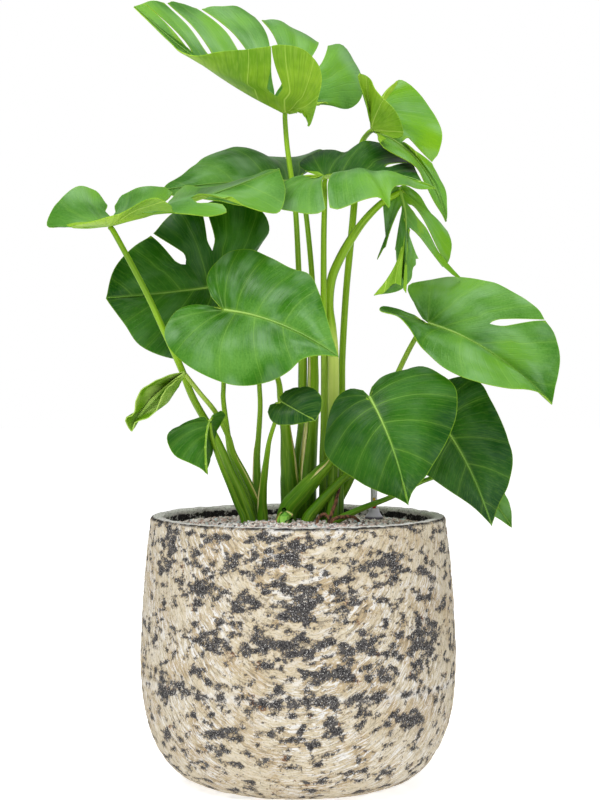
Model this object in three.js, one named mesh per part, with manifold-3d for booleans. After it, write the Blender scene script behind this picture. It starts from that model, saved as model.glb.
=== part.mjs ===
// A potted swiss cheese plant: a young split-leaf plant with waxy heart-shaped and slit leaves on long
// sheathed stalks, standing in mineral granules in a rounded, rough-cast planter, with a water gauge.
// Millimetres, +Z up, the viewer looks along +Y. The origin is the middle of the planter's flat base.
import * as THREE from 'three';
import { mergeVertices } from 'three/addons/utils/BufferGeometryUtils.js';
import Module from 'manifold-3d';

const wasm = await Module();
wasm.setup();

// Driving dimensions of the planter and what fills it
const POT_HEIGHT = 304;
const POT_RADIUS = 180;
const POT_WIDEST_AT = 146;
const POT_BASE_RADIUS = 90;
const POT_BELLY_POWER = 2.45;
const POT_RIM_RADIUS = 168;
const POT_SHOULDER_POWER = 1.6;
const POT_WALL = 15;
const POT_FLOOR = 16;
const POT_LIP_ROUND = 4;
const POT_SIDES = 48;
const FILL_DEPTH = 16;
const FILL_HEIGHT = POT_HEIGHT - FILL_DEPTH;
const FILL_MOUND = 7;
const FILL_RINGS = 7;
const PEBBLE_RELIEF = 1.1;
const ROOT_BALL = { x: 12, y: 16, radius: 56, depth: 120, proud: 1.5, sides: 20 };

// Clearance between pieces that touch
const GAP = 0.35;

// Blade and stalk build-up
const BLADE_THICKNESS = 1.3;
const BLADE_ROWS = 5;
const BLADE_VEINS = { fan: 5, stations: 9 };
const FAN_END = 0.3;
const VEIN_SWEEP = 1.8;
const VEIN_BOW = 0.05;
const SLIT_ROUND = 0.2;
const NOTCH_SPAN = 0.4;
const NOTCH_DEPTH = 0.8;
const DEEPEST_NOTCH = 0.2;
const NEAR_RIB = 0.2;
const RIGHT_PHASE = 0.37;
const STALK_SIDES = 8;

const v3 = (p) => new THREE.Vector3(...p.slice(0, 3));
const smooth = (t) => THREE.MathUtils.smoothstep(t, 0, 1);

// Reads a short list of values, spaced evenly from 0 to 1, at any place between
function along(list, t) {
  const place = THREE.MathUtils.clamp(t, 0, 1) * (list.length - 1);
  const first = Math.min(Math.floor(place), list.length - 2);
  return THREE.MathUtils.lerp(list[first], list[first + 1], smooth(place - first));
}

// Solids: joins and cuts

function toSolid(geometry) {
  const bare = geometry.clone();
  bare.deleteAttribute('normal');
  bare.deleteAttribute('uv');
  const merged = mergeVertices(bare, 1e-4);
  const corners = merged.index.array;
  const kept = [];
  for (let i = 0; i < corners.length; i += 3) {
    const [a, b, c] = corners.slice(i, i + 3);
    if (a !== b && b !== c && c !== a) kept.push(a, b, c);
  }
  const mesh = new wasm.Mesh({
    numProp: 3,
    vertProperties: new Float32Array(merged.attributes.position.array),
    triVerts: new Uint32Array(kept),
  });
  return new wasm.Manifold(mesh);
}

function toGeometry(solid) {
  const mesh = solid.getMesh();
  const geometry = new THREE.BufferGeometry();
  geometry.setAttribute('position', new THREE.BufferAttribute(mesh.vertProperties, 3));
  geometry.setIndex(new THREE.BufferAttribute(mesh.triVerts, 1));
  geometry.computeVertexNormals();
  return geometry;
}

function fromFaces(position, faces) {
  const geometry = new THREE.BufferGeometry();
  geometry.setAttribute('position', new THREE.Float32BufferAttribute(position, 3));
  geometry.setIndex(faces);
  geometry.computeVertexNormals();
  return geometry;
}

// Whether two solids' boxes come near enough to touch
function meets(a, b) {
  const p = a.boundingBox();
  const q = b.boundingBox();
  return [0, 1, 2].every((k) => p.min[k] < q.max[k] && q.min[k] < p.max[k]);
}

// Takes the cutters that reach a solid out of it and keeps the largest piece; loose scraps are dropped
function cutClear(solid, cutters) {
  let left = solid;
  for (const cutter of cutters) {
    if (meets(left, cutter)) left = left.subtract(cutter);
  }
  return left.decompose().sort((a, b) => b.volume() - a.volume())[0];
}

// Leaf blades. A half blade is a fan of side veins from the midrib to the edge: the lowest ones leave the
// stalk's end and sweep back into the heart lobe. Place s runs round the edge from the notch (0) to the
// tip (1), and place t runs out along a vein from the midrib (0) to the edge (1). The edge is a smooth
// curve through a few points, and slit k meets it at point k.

function ribOf(leaf) {
  const [start, middle, end] = leaf.rib.map(v3);
  const control = middle.clone().multiplyScalar(2).sub(start.clone().add(end).multiplyScalar(0.5));
  return new THREE.QuadraticBezierCurve3(start, control, end);
}

// The direction a leaf's upper face looks, at any place along its midrib
function upFace(leaf, rib, place) {
  const forward = rib.getTangent(place);
  const up = v3(leaf.faces[0]).lerp(v3(leaf.faces.at(-1)), place);
  return up.addScaledVector(forward, -up.dot(forward)).normalize();
}

// How far a slit is open, in mm, at place t along its vein: it starts round and narrows to its mouth
function slitGap([, from, width, mouth], t) {
  const within = (t - from) / (1 - from);
  if (within <= 0) return 0;
  const start = Math.sqrt(Math.min(within / SLIT_ROUND, 1));
  return start * THREE.MathUtils.lerp(width, mouth, smooth(within));
}

// The place round the edge where the vein that leaves the midrib at `place` meets it. The half's `meets`
// names some of these veins as [place on the midrib, point on the edge]; the others run between them.
function edgePlace(side, place) {
  const count = side.edge.length;
  const known = [[0, count * FAN_END], ...(side.meets ?? []), [1, count]];
  if (side.meets?.[0][0] === 0) known.shift();
  const next = known.findIndex(([at], k) => k > 0 && place <= at);
  const [[from, first], [to, last]] = [known[next - 1], known[next]];
  const curve = side.meets ? 1 : 1 / VEIN_SWEEP;
  return THREE.MathUtils.lerp(first, last, ((place - from) / (to - from)) ** curve) / count;
}

// The veins of one half that carry the blade's corners: a fan at the stalk's end, then one vein at each of
// the stations along the midrib that both halves share. A slit moves the nearest vein's end to its own.
function veinsOf(leaf, side) {
  const { fan, stations } = { ...BLADE_VEINS, ...leaf.veins };
  const first = edgePlace(side, 1 / stations ** 2);
  const veins = [];
  for (let i = 0; i < fan; i++) veins.push({ s: (first * i) / fan, place: 0 });
  for (let i = 1; i <= stations; i++) {
    const place = (i / stations) ** 2;
    veins.push({ s: edgePlace(side, place), place });
  }
  (side.slits ?? []).forEach(([at], k) => {
    const s = at / side.edge.length;
    const free = veins.slice(1, -1).filter((vein) => vein.slit === undefined);
    const nearest = free.sort((a, b) => Math.abs(a.s - s) - Math.abs(b.s - s))[0];
    nearest.s = s;
    nearest.slit = k;
  });
  return veins;
}

// One half's surface: the point at place t along the vein that leaves the midrib at `place` and meets the
// edge at place s, in the finger between two slits
function halfOf(leaf, name) {
  const side = leaf[name];
  const rib = ribOf(leaf);
  const points = side.edge.length;
  const edge = new THREE.CatmullRomCurve3([...side.edge.map(v3), v3(leaf.rib[2])], false, 'catmullrom', 0.5);
  const slits = side.slits ?? [];
  const [swell, waves, phase] = leaf.wave;
  const shift = name === 'left' ? 0 : RIGHT_PHASE;

  // Half a slit's width as a step round the edge
  const half = (slit, t) => {
    if (!slit) return 0;
    const span = edge.getPoint((slit[0] + 1) / points).distanceTo(edge.getPoint((slit[0] - 1) / points));
    return slitGap(slit, t) / (span * points * Math.max(t, NEAR_RIB));
  };

  // The place round the edge once the fingers beside each slit have drawn apart
  const drawn = (s, t, finger) => {
    const low = slits[finger - 1];
    const high = slits[finger];
    const start = low ? low[0] / points : 0;
    const end = high ? high[0] / points : 1;
    return THREE.MathUtils.lerp(start + half(low, t), end - half(high, t), (s - start) / (end - start));
  };

  const point = ({ s, place }, t, finger) => {
    const from = rib.getPoint(place);
    const to = edge.getPoint(THREE.MathUtils.clamp(drawn(s, t, finger), 0, 1));
    const reach = from.distanceTo(to);
    const up = upFace(leaf, rib, place);
    let dip = 0;
    for (const [at, , , mouth] of slits) {
      dip += ((NOTCH_DEPTH * mouth) / reach) * Math.exp(-(((s * points - at) / NOTCH_SPAN) ** 2));
    }
    const out = t * (1 - Math.min(dip, DEEPEST_NOTCH));
    const control = from.clone().add(to).multiplyScalar(0.5);
    control.addScaledVector(up, 2 * along(side.bulge, s) * reach);
    control.addScaledVector(rib.getTangent(place), -2 * (side.bow ?? VEIN_BOW) * reach * smooth(s / 0.5));
    const bent = new THREE.QuadraticBezierCurve3(from, control, to).getPoint(out);
    const ripple = Math.sin(2 * Math.PI * (waves * s + phase + shift)) * Math.sin(Math.PI * s);
    return bent.addScaledVector(up, swell * t * t * ripple);
  };
  return { rib, slits, point };
}

// The blade's middle surface, as shared corners and triangles, open at every slit
function bladeSheet(leaf) {
  const rows = leaf.rows ?? BLADE_ROWS;
  const corners = [];
  const triangles = [];
  const index = new Map();
  const shared = (key, make) => {
    if (!index.has(key)) {
      index.set(key, corners.length);
      corners.push(make());
    }
    return index.get(key);
  };
  for (const name of ['left', 'right']) {
    const { rib, slits, point } = halfOf(leaf, name);
    const veins = veinsOf(leaf, leaf[name]);
    const corner = (i, j, finger) => {
      const { place, slit } = veins[i];
      if (j === 0 || place === 1) return shared(`rib ${place}`, () => rib.getPoint(place));
      const open = slit !== undefined && slitGap(slits[slit], j / rows) > 0;
      return shared(`${name} ${i} ${j} ${open ? finger : 'shut'}`, () => point(veins[i], j / rows, finger));
    };
    let finger = 0;
    for (let i = 0; i < veins.length - 1; i++) {
      if (veins[i].slit !== undefined) finger += 1;
      for (let j = 0; j < rows; j++) {
        const [a, b] = [corner(i, j, finger), corner(i + 1, j, finger)];
        const [c, d] = [corner(i + 1, j + 1, finger), corner(i, j + 1, finger)];
        for (const [p, q, r] of [[a, b, c], [a, c, d]]) {
          if (p === q || q === r || r === p) continue;
          triangles.push(name === 'left' ? [p, q, r] : [p, r, q]);
        }
      }
    }
  }
  return { corners, triangles };
}

// Gives a sheet its thickness: both faces split alike, joined round every open edge. With `spread` the
// sheet also grows by that much beyond its edges, as a cutter that clears it.
function thicken({ corners, triangles }, thickness, spread = 0) {
  const normals = corners.map(() => new THREE.Vector3());
  const edges = new Set();
  for (const [a, b, c] of triangles) {
    const n = corners[b].clone().sub(corners[a]).cross(corners[c].clone().sub(corners[a]));
    for (const k of [a, b, c]) normals[k].add(n);
    for (const [p, q] of [[a, b], [b, c], [c, a]]) edges.add(`${p},${q}`);
  }
  const rim = [...edges].map((edge) => edge.split(',').map(Number)).filter(([p, q]) => !edges.has(`${q},${p}`));
  const outward = corners.map(() => new THREE.Vector3());
  for (const [p, q] of rim) {
    const away = corners[q].clone().sub(corners[p]).cross(normals[p]).normalize();
    for (const k of [p, q]) outward[k].add(away);
  }
  const count = corners.length;
  const position = [];
  for (const sign of [1, -1]) {
    corners.forEach((p, k) => {
      const place = p.clone().addScaledVector(normals[k].normalize(), (sign * thickness) / 2);
      position.push(...place.addScaledVector(outward[k].normalize(), spread));
    });
  }
  const faces = [];
  for (const [a, b, c] of triangles) {
    faces.push(a, b, c, a + count, c + count, b + count);
  }
  for (const [p, q] of rim) faces.push(q, p, p + count, q, p + count, q + count);
  return fromFaces(position, faces);
}

const bladeOf = (leaf) => thicken(bladeSheet(leaf), BLADE_THICKNESS);
const bladeCutter = (leaf) => thicken(bladeSheet(leaf), BLADE_THICKNESS + 3 * GAP, 1.5 * GAP);

// A stalk, stem or root: a round tube along a smooth curve through [x, y, z, radius] points. With `grow`
// it comes out larger all round, as the cutter for a hole that it stands in.
function stalkOf(route, { grow = 0, sides = STALK_SIDES, rings = route.length - 1 } = {}) {
  const curve = new THREE.CatmullRomCurve3(route.map(v3), false, 'catmullrom', 0.5);
  const position = [];
  const faces = [];
  let across = new THREE.Vector3(1, 0, 0);
  for (let i = 0; i <= rings; i++) {
    const place = i / rings;
    const centre = curve.getPoint(place);
    const ahead = curve.getTangent(place);
    if (i === 0) centre.addScaledVector(ahead, -grow);
    if (i === rings) centre.addScaledVector(ahead, grow);
    across = across.addScaledVector(ahead, -across.dot(ahead)).normalize();
    const other = new THREE.Vector3().crossVectors(ahead, across);
    const radius = along(route.map((p) => p[3]), place) + grow;
    for (let k = 0; k < sides; k++) {
      const angle = (2 * Math.PI * k) / sides;
      const p = centre.clone().addScaledVector(across, Math.cos(angle) * radius);
      position.push(...p.addScaledVector(other, Math.sin(angle) * radius));
    }
  }
  for (let i = 0; i < rings; i++) {
    for (let k = 0; k < sides; k++) {
      const [a, b] = [i * sides + k, i * sides + ((k + 1) % sides)];
      faces.push(a, b, b + sides, a, b + sides, a + sides);
    }
  }
  const last = rings * sides;
  for (let k = 1; k < sides - 1; k++) faces.push(0, k + 1, k, last, last + k, last + k + 1);
  return fromFaces(position, faces);
}

// The leaves. `rib` is the midrib's start at the stalk, middle and tip. `faces` is the way the upper side
// looks at the start and at the tip. Each half, seen from above with the tip ahead, has its edge from the
// notch round to the tip, how far its veins bulge upward as a share of their length, and its slits as
// [point on the edge, start along its vein, width, width of its mouth]. `stalk` runs from the foot up to the blade.
const LEAVES = [
  {
    name: 'top',
    rib: [[-15, 10, 763], [-98, 4, 810], [-186, 10, 883]],
    faces: [[0.52, -0.23, 0.8]],
    left: {
      edge: [
        [-11, -2, 759], [-3, -14, 758], [3, -28, 759], [9, -44, 751], [13, -56, 741],
        [18, -64, 756], [23, -72, 774], [24, -78, 792], [19, -84, 810], [7, -88, 823],
        [-8, -90, 827], [-23, -88, 825], [-37, -86, 821], [-57, -78, 821], [-86, -64, 821],
        [-117, -42, 821], [-146, -14, 840],
      ],
      bulge: [0.02, 0.12, -0.06, -0.12, -0.08, 0],
      slits: [[11.55, 0.44, 21, 0.7]],
      meets: [[0, 10.4], [0.04, 12], [0.4, 14.4]],
    },
    right: {
      edge: [
        [5, 16, 768], [30, 34, 774], [58, 56, 772], [74, 78, 788], [72, 96, 816], [53, 108, 851],
        [30, 112, 856], [5, 110, 870], [-19, 104, 879], [-48, 98, 880], [-73, 90, 893],
        [-95, 82, 894], [-119, 72, 894], [-138, 58, 896], [-157, 44, 894], [-170, 26, 891],
      ],
      bulge: [0.1, 0.12, 0.1, 0.02],
      slits: [[6, 0.4, 16, 12], [9.15, 0.12, 20, 9], [12, 0.2, 15, 7], [14, 0.2, 9, 6], [15.4, 0.12, 4, 0.5]],
      meets: [[0, 5.5], [0.08, 9], [0.19, 12], [0.44, 14], [0.6, 15.4]],
    },
    wave: [3, 3, 0.1],
    stalk: [
      [0, 50, 262, 7], [-1, 50, 317, 7], [-1, 48, 358, 5.6], [2, 44, 381, 5.4], [5, 40, 409, 5.3],
      [5, 36, 451, 5.2], [5, 32, 484, 5.1], [3, 28, 526, 4.2], [1, 24, 572, 3.3],
      [-3, 19, 650, 3.1], [-10, 17, 704, 3], [-13, 15, 727, 2.9], [-15, 13, 753, 2.8],
      [-15, 9.9, 762, 2.8],
    ],
  },
  {
    name: 'left',
    rib: [[-211, -30, 633], [-122, -60, 656], [-21, -52, 694]],
    faces: [[-0.1, -0.25, 1], [0, -0.45, 1]],
    left: {
      edge: [
        [-222, -20, 637], [-250, -6, 635], [-285, 6, 632], [-281, 24, 656], [-268, 40, 673],
        [-253, 52, 681], [-235, 56, 675], [-216, 52, 659], [-204, 60, 672], [-189, 60, 681],
        [-173, 56, 683], [-156, 46, 680], [-141, 32, 673], [-127, 24, 680], [-105, 8, 678],
        [-84, -12, 680], [-61, -26, 686], [-38, -40, 693],
      ],
      bulge: [0, -0.08, -0.06, 0],
      slits: [[7, 0.72, 13, 9], [12, 0.4, 12, 5]],
    },
    right: {
      edge: [
        [-220, -42, 629], [-237, -62, 628], [-249, -80, 629], [-229, -100, 631], [-204, -112, 636],
        [-184, -118, 643], [-166, -122, 654], [-151, -124, 659], [-138, -120, 652],
        [-133, -116, 642], [-117, -112, 638], [-96, -110, 637], [-78, -108, 642], [-76, -104, 654],
        [-72, -100, 661], [-58, -104, 650], [-37, -100, 642], [-20, -90, 643], [-14, -72, 667],
      ],
      bulge: [0, -0.03, 0.06, 0.14, 0.06],
      slits: [[9, 0.5, 4, 2], [13, 0.62, 12, 7]],
    },
    wave: [2.5, 3, 0.2],
    stalk: [
      [-50, 8, 262, 7.4], [-55, 8, 295, 7.2], [-65, 3, 325, 6], [-77, -2, 353, 5],
      [-92, -8, 389, 4.4], [-118, -18, 436, 4.1], [-133, -24, 474, 3.9], [-150, -30, 512, 3.6],
      [-172, -34, 560, 3.3], [-204, -35, 620, 3.2], [-211, -32, 630, 3],
    ],
  },
  {
    name: 'centre_back',
    rib: [[0, 76, 690], [-76, 70, 688], [-159, 58, 678]],
    faces: [[0, -0.35, 1], [0, -0.5, 1]],
    left: {
      edge: [
        [-1, 62, 681], [-9, 46, 668], [-28, 38, 662], [-51, 34, 660], [-74, 32, 660],
        [-99, 34, 663], [-125, 40, 668], [-146, 48, 672],
      ],
      bulge: [0.1, 0.1, 0.05, 0],
    },
    right: {
      edge: [
        [6, 92, 698], [21, 112, 709], [33, 126, 726], [25, 134, 734], [10, 146, 728],
        [-5, 150, 724], [-20, 152, 721], [-39, 146, 723], [-58, 140, 731], [-79, 134, 735],
        [-97, 128, 730], [-114, 118, 721], [-125, 104, 709], [-137, 88, 696], [-150, 72, 688],
      ],
      bulge: [0.04, 0.08, 0.1, 0.02],
      slits: [[6, 0.6, 5, 2]],
    },
    wave: [2.5, 2, 0],
    stalk: [
      [9, 28, 262, 11], [10, 26, 319, 10.6], [11, 26, 359, 10], [15, 26, 410, 8.2],
      [17, 28, 451, 6.6], [17, 30, 484, 6], [17, 36, 526, 4], [16, 46, 576, 3.2], [9, 64, 650, 3],
      [3, 74, 678, 2.9], [1, 76, 688, 2.6],
    ],
  },
  {
    name: 'centre',
    rib: [[31, 4, 688], [96, -8, 693], [155, -20, 675]],
    faces: [[-0.05, -0.55, 1], [0, -0.6, 1]],
    left: {
      edge: [
        [23, 14, 695], [10, 24, 697], [1, 38, 705], [7, 50, 715], [23, 58, 724], [41, 60, 725],
        [54, 58, 722], [65, 56, 726], [78, 58, 733], [91, 58, 732], [106, 54, 727], [120, 48, 717],
        [131, 38, 708], [135, 26, 699], [136, 8, 691], [143, -12, 679],
      ],
      bulge: [0, 0.04, 0.06, 0.04],
      slits: [[12, 0.3, 6, 0.6]],
    },
    right: {
      edge: [
        [20, -8, 686], [2, -16, 685], [-11, -24, 684], [-21, -34, 676], [-25, -44, 663],
        [-21, -52, 649], [-8, -58, 645], [7, -62, 643], [20, -66, 644], [33, -70, 646],
        [46, -74, 650], [66, -80, 657], [88, -84, 660], [100, -88, 648], [102, -74, 665],
        [109, -62, 673], [123, -48, 675], [139, -30, 673],
      ],
      bulge: [0.05, 0.14, 0.2, 0.18, 0.05],
      slits: [[9, 0.2, 11, 5]],
    },
    wave: [2, 2, 0.3],
    stalk: [
      [27, 14, 262, 5.6], [29, 13, 320, 5.2], [29, 12, 366, 4.8], [30, 10, 411, 4.4],
      [30, 6, 484, 4.2], [29, 4, 549, 3.6], [29, 3, 617, 3.3], [30, 3, 660, 3.1], [30, 3, 672, 3],
      [30, 3.5, 681, 2.8], [31, 4, 686, 2.6],
    ],
  },
  {
    name: 'right_high',
    rib: [[86, 46, 746], [140, 38, 708], [170, 18, 639]],
    faces: [[0.3, -0.6, 0.7], [0.8, -0.6, 0.1]],
    left: {
      edge: [
        [94, 50, 757], [104, 60, 772], [112, 68, 788], [115, 74, 806], [124, 76, 807],
        [139, 76, 797], [154, 74, 776], [164, 68, 758], [167, 60, 739], [163, 54, 720],
        [157, 50, 706], [164, 40, 692], [170, 30, 675], [171, 22, 657],
      ],
      bulge: [0.05, 0.1, 0.1, 0.05],
      slits: [[10, 0.26, 17, 2]],
      meets: [[0, 8.2], [0.24, 10], [0.5, 12.3]],
      bow: 0.2,
    },
    right: {
      edge: [
        [82, 38, 755], [77, 26, 774], [68, 16, 804], [74, 22, 808], [83, 24, 803], [89, 12, 788],
        [106, 0, 768], [115, -6, 751], [119, -4, 733], [106, 0, 729], [94, 4, 728], [106, 4, 718],
        [121, 4, 710], [135, 2, 701], [143, 18, 686], [152, 16, 667], [162, 16, 651],
      ],
      bulge: [0, -0.05, 0.05, 0.08],
      slits: [[9, 0.12, 3, 7]],
      meets: [[0, 8.6], [0.12, 11], [0.36, 13], [0.6, 15]],
    },
    wave: [2, 2, 0],
    stalk: [
      [46, 22, 262, 6], [47, 22, 319, 5.4], [48, 30, 388, 4.6], [50, 38, 434, 4.2],
      [51, 44, 483, 3.8], [55, 48, 553, 3.8], [60, 51, 608, 4], [65, 60, 660, 4],
      [67, 70, 691, 3.8], [69, 76, 717, 3.5], [75, 72, 735, 3.2], [81, 60, 743, 3],
      [86, 46.9, 746, 2.8],
    ],
  },
  {
    name: 'drooping',
    rib: [[115, -10, 676], [118, -34, 609], [85, -38, 553]],
    faces: [[0.1, -1, 0.4], [0.1, -1, 0.2]],
    left: {
      edge: [
        [119, -10, 678], [127, -8, 676], [138, -5, 667], [148, 0, 650], [160, 4, 637],
        [170, 6, 627], [175, 6, 611], [173, 5, 597], [170, 4, 587], [177, 6, 582], [186, 8, 575],
        [177, 0, 576], [157, -10, 580], [135, -22, 587], [129, -28, 582], [126, -34, 570],
        [112, -38, 558],
      ],
      bulge: [0.05, 0.08, 0.06, 0.03],
      slits: [[8, 0.12, 12, 2], [12, 0.18, 22, 38]],
      meets: [[0, 6], [0.06, 8], [0.26, 12], [0.45, 13.5]],
      bow: -0.08,
    },
    right: {
      edge: [
        [110, -8, 677], [103, -4, 674], [97, 0, 666], [96, 2, 655], [98, 2, 638], [98, 2, 617],
        [95, 2, 605], [89, 2, 594], [101, -12, 589], [112, -34, 582], [119, -52, 556],
        [116, -50, 557], [110, -46, 566], [103, -42, 563], [96, -40, 556],
      ],
      bulge: [0.05, 0.08, 0.08, 0.03],
      slits: [[8, 0.14, 7, 22], [11, 0.3, 5, 4]],
      meets: [[0, 5.5], [0.1, 8], [0.28, 11], [0.6, 12.5]],
    },
    wave: [1.5, 2, 0.5],
    stalk: [
      [38, -4, 262, 7], [39, -4, 321, 6.8], [40, -6, 390, 6.4], [40, -6, 435, 6.2],
      [40, 0, 484, 6], [38, 10, 515, 5.7], [35, 17, 543, 5.4], [38, 17, 572, 5.3],
      [47, 14, 595, 5.2], [60, 8, 618, 5], [76, 0, 640, 4.3], [94, -6, 658, 3.8],
      [109, -9, 667, 3.3], [118, -10, 672, 2.8],
    ],
  },
  {
    name: 'back_left',
    rib: [[-85, 80, 568], [-153, 74, 559], [-224, 60, 552]],
    faces: [[0, -1, 0.2], [-0.1, -1, 0.1]],
    left: {
      edge: [
        [-79, 78, 557], [-71, 74, 536], [-74, 70, 508], [-94, 66, 488], [-122, 64, 479],
        [-155, 62, 483], [-185, 60, 497], [-202, 58, 521], [-219, 58, 544],
      ],
      bulge: [0.06, 0.1, 0.08, 0.03],
    },
    right: {
      edge: [
        [-75, 82, 574], [-59, 86, 592], [-46, 88, 613], [-34, 90, 631], [-41, 92, 653],
        [-62, 94, 665], [-88, 96, 669], [-115, 96, 667], [-142, 94, 658], [-175, 88, 629],
        [-200, 80, 607], [-217, 70, 583],
      ],
      bulge: [0.06, 0.08, 0.08, 0.03],
      slits: [[7, 0.44, 10, 5], [9, 0.42, 15, 4]],
      meets: [[0, 4.4], [0.13, 7.4], [0.2, 9], [0.6, 10.6]],
    },
    wave: [2, 2, 0.2],
    stalk: [
      [-50, 38, 262, 6], [-56, 38, 312, 5.6], [-65, 40, 339, 4.8], [-77, 42, 366, 4],
      [-82, 44, 395, 3.4], [-87, 50, 433, 2.9], [-87, 56, 452, 2.8], [-87, 70, 515, 2.7],
      [-86, 79, 560, 2.6],
    ],
  },
  {
    name: 'front_heart',
    rib: [[-82, -70, 537], [-19, -92, 521], [44, -110, 486]],
    faces: [[-0.1, -1, 0.25], [0.1, -1, 0.35]],
    left: {
      edge: [
        [-96, -70, 551], [-101, -64, 570], [-93, -56, 588], [-76, -50, 602], [-56, -50, 605],
        [-34, -54, 597], [-11, -62, 584], [12, -72, 576], [23, -84, 556], [35, -98, 516],
      ],
      bulge: [0.08, 0.12, 0.1, 0.04],
    },
    right: {
      edge: [
        [-97, -72, 541], [-115, -74, 543], [-136, -76, 535], [-147, -80, 515], [-140, -88, 493],
        [-117, -96, 473], [-85, -104, 458], [-59, -108, 454], [-31, -112, 459], [-11, -114, 469],
        [4, -112, 482], [24, -112, 487],
      ],
      bulge: [0.08, 0.12, 0.1, 0.04],
    },
    wave: [2, 2, 0.1],
    stalk: [
      [-7, 34, 262, 11], [-9, 32, 319, 11], [-10, 30, 338, 10.6], [-11, 28, 359, 9.4],
      [-15, 24, 405, 6], [-20, 16, 434, 3.8], [-23, 4, 458, 3.2], [-36, -24, 490, 3],
      [-60, -52, 520, 2.9], [-80, -68.8, 535, 2.7],
    ],
  },
  {
    name: 'low_right',
    rib: [[79, -60, 441], [103, -88, 387], [121, -90, 322]],
    faces: [[-0.1, -1, 0.4], [0, -1, 0.1]],
    left: {
      edge: [
        [82, -60, 452], [93, -58, 463], [115, -54, 470], [138, -48, 474], [161, -46, 464],
        [176, -48, 448], [177, -54, 428], [172, -62, 407], [159, -72, 382], [143, -80, 357],
        [127, -86, 338],
      ],
      bulge: [0.06, 0.12, 0.1, 0.04],
    },
    right: {
      edge: [
        [72, -60, 448], [58, -60, 450], [42, -60, 439], [33, -58, 415], [28, -56, 386],
        [33, -58, 371], [52, -64, 356], [71, -72, 344], [89, -80, 336], [107, -86, 330],
      ],
      bulge: [0.06, 0.12, 0.1, 0.04],
    },
    wave: [1.5, 2, 0.4],
    stalk: [
      [-18, 4, 262, 11], [-14, 2, 298, 11], [-9, -2, 314, 11], [0, -6, 325, 10.8],
      [11, -12, 338, 10], [25, -20, 354, 8], [37, -28, 368, 5.4], [56, -42, 396, 4.2],
      [69, -52, 421, 3.6], [78, -59, 439, 3],
    ],
  },
  {
    name: 'behind_right',
    rib: [[156, 10, 418], [191, 0, 365], [221, 0, 291]],
    faces: [[0.1, -1, 0.4], [0.1, -1, 0.1]],
    left: {
      edge: [
        [157, 12, 432], [158, 16, 448], [171, 20, 458], [191, 22, 461], [208, 22, 455],
        [220, 20, 439], [238, 14, 398], [245, 10, 371], [241, 6, 341], [230, 4, 316],
      ],
      bulge: [0.05, 0.1, 0.08, 0.03],
    },
    right: {
      edge: [
        [144, 10, 426], [128, 8, 423], [115, 4, 405], [118, 0, 378], [132, -2, 359],
        [149, -2, 347], [174, -2, 330], [199, 0, 313],
      ],
      bulge: [0.05, 0.1, 0.08, 0.03],
    },
    wave: [2, 2, 0.6],
    veins: { fan: 4, stations: 7 },
    rows: 4,
    stalk: [
      [6, -6, 262, 7], [10, -6, 297, 6.8], [23, -8, 316, 6], [37, -10, 332, 5.4],
      [53, -12, 348, 4.8], [82, -10, 373, 4], [120, 0, 399, 3.4], [153, 9, 415, 2.8],
    ],
  },
  {
    name: 'right_slit',
    rib: [[148, 10, 523], [218, -10, 490], [287, -20, 431]],
    faces: [[-0.1, -1, 0.3], [0.1, -1, 0.3]],
    left: {
      edge: [
        [142, 10, 527], [133, 10, 543], [125, 12, 564], [143, 16, 571], [171, 18, 576],
        [199, 16, 574], [224, 12, 569], [248, 6, 556], [270, 0, 541], [281, -4, 526],
        [292, -8, 508], [296, -14, 485], [294, -17, 465], [290, -19, 447],
      ],
      bulge: [0.06, 0.12, 0.1, 0.04],
      slits: [[9, 0.42, 11, 1.5]],
      meets: [[0, 5.5], [0.16, 9], [0.5, 10.8]],
      bow: -0.03,
    },
    right: {
      edge: [
        [132, 0, 532], [117, -12, 538], [95, -26, 542], [94, -34, 536], [114, -38, 529],
        [125, -42, 516], [138, -48, 496], [162, -56, 473], [193, -62, 459], [225, -60, 451],
        [257, -46, 448], [277, -30, 442],
      ],
      bulge: [0, 0.08, 0.12, 0.1, 0.05],
    },
    wave: [2, 2, 0.2],
    stalk: [
      [32, 34, 262, 7], [38, 32, 301, 6.8], [47, 30, 321, 6.2], [56, 28, 337, 5.6],
      [80, 22, 388, 4], [116, 14, 470, 3.1], [135, 11, 507, 2.9], [147, 10.0, 522, 2.6],
    ],
  },
  {
    name: 'small_left',
    rib: [[-99, -50, 413], [-102, -64, 386], [-100, -72, 355]],
    faces: [[-0.3, -1, 0.3], [-0.3, -1, 0.1]],
    left: {
      edge: [
        [-95, -48, 420], [-86, -44, 424], [-81, -38, 419], [-87, -30, 409], [-93, -30, 393],
        [-96, -38, 378], [-99, -58, 366],
      ],
      bulge: [0, 0.1, 0.1, 0],
    },
    right: {
      edge: [
        [-105, -52, 419], [-124, -60, 413], [-142, -66, 403], [-145, -68, 392], [-137, -70, 376],
        [-121, -72, 368], [-107, -72, 361],
      ],
      bulge: [0.05, 0.1, 0.1, 0],
    },
    wave: [1, 2, 0],
    veins: { fan: 3, stations: 5 },
    rows: 3,
    stalk: [
      [-57, -8, 262, 3.8], [-62, -8, 299, 3.6], [-69, -12, 316, 3.4], [-78, -20, 340, 3.2],
      [-88, -32, 366, 2.8], [-96, -44, 392, 2.4], [-99, -49, 411, 2],
    ],
  },
  {
    name: 'small_centre',
    rib: [[-19, -75, 436], [-1, -86, 426], [19, -90, 415]],
    faces: [[0, -1, 0.3]],
    left: {
      edge: [
        [-21, -74, 441], [-13, -72, 448], [0, -74, 452], [14, -78, 452], [25, -84, 443],
        [26, -88, 429],
      ],
      bulge: [0.05, 0.1, 0.1, 0],
    },
    right: {
      edge: [
        [-25, -74, 435], [-32, -74, 431], [-33, -76, 421], [-25, -80, 411], [-11, -84, 410],
        [4, -88, 412],
      ],
      bulge: [0.05, 0.1, 0.1, 0],
    },
    wave: [0.5, 2, 0],
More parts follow.
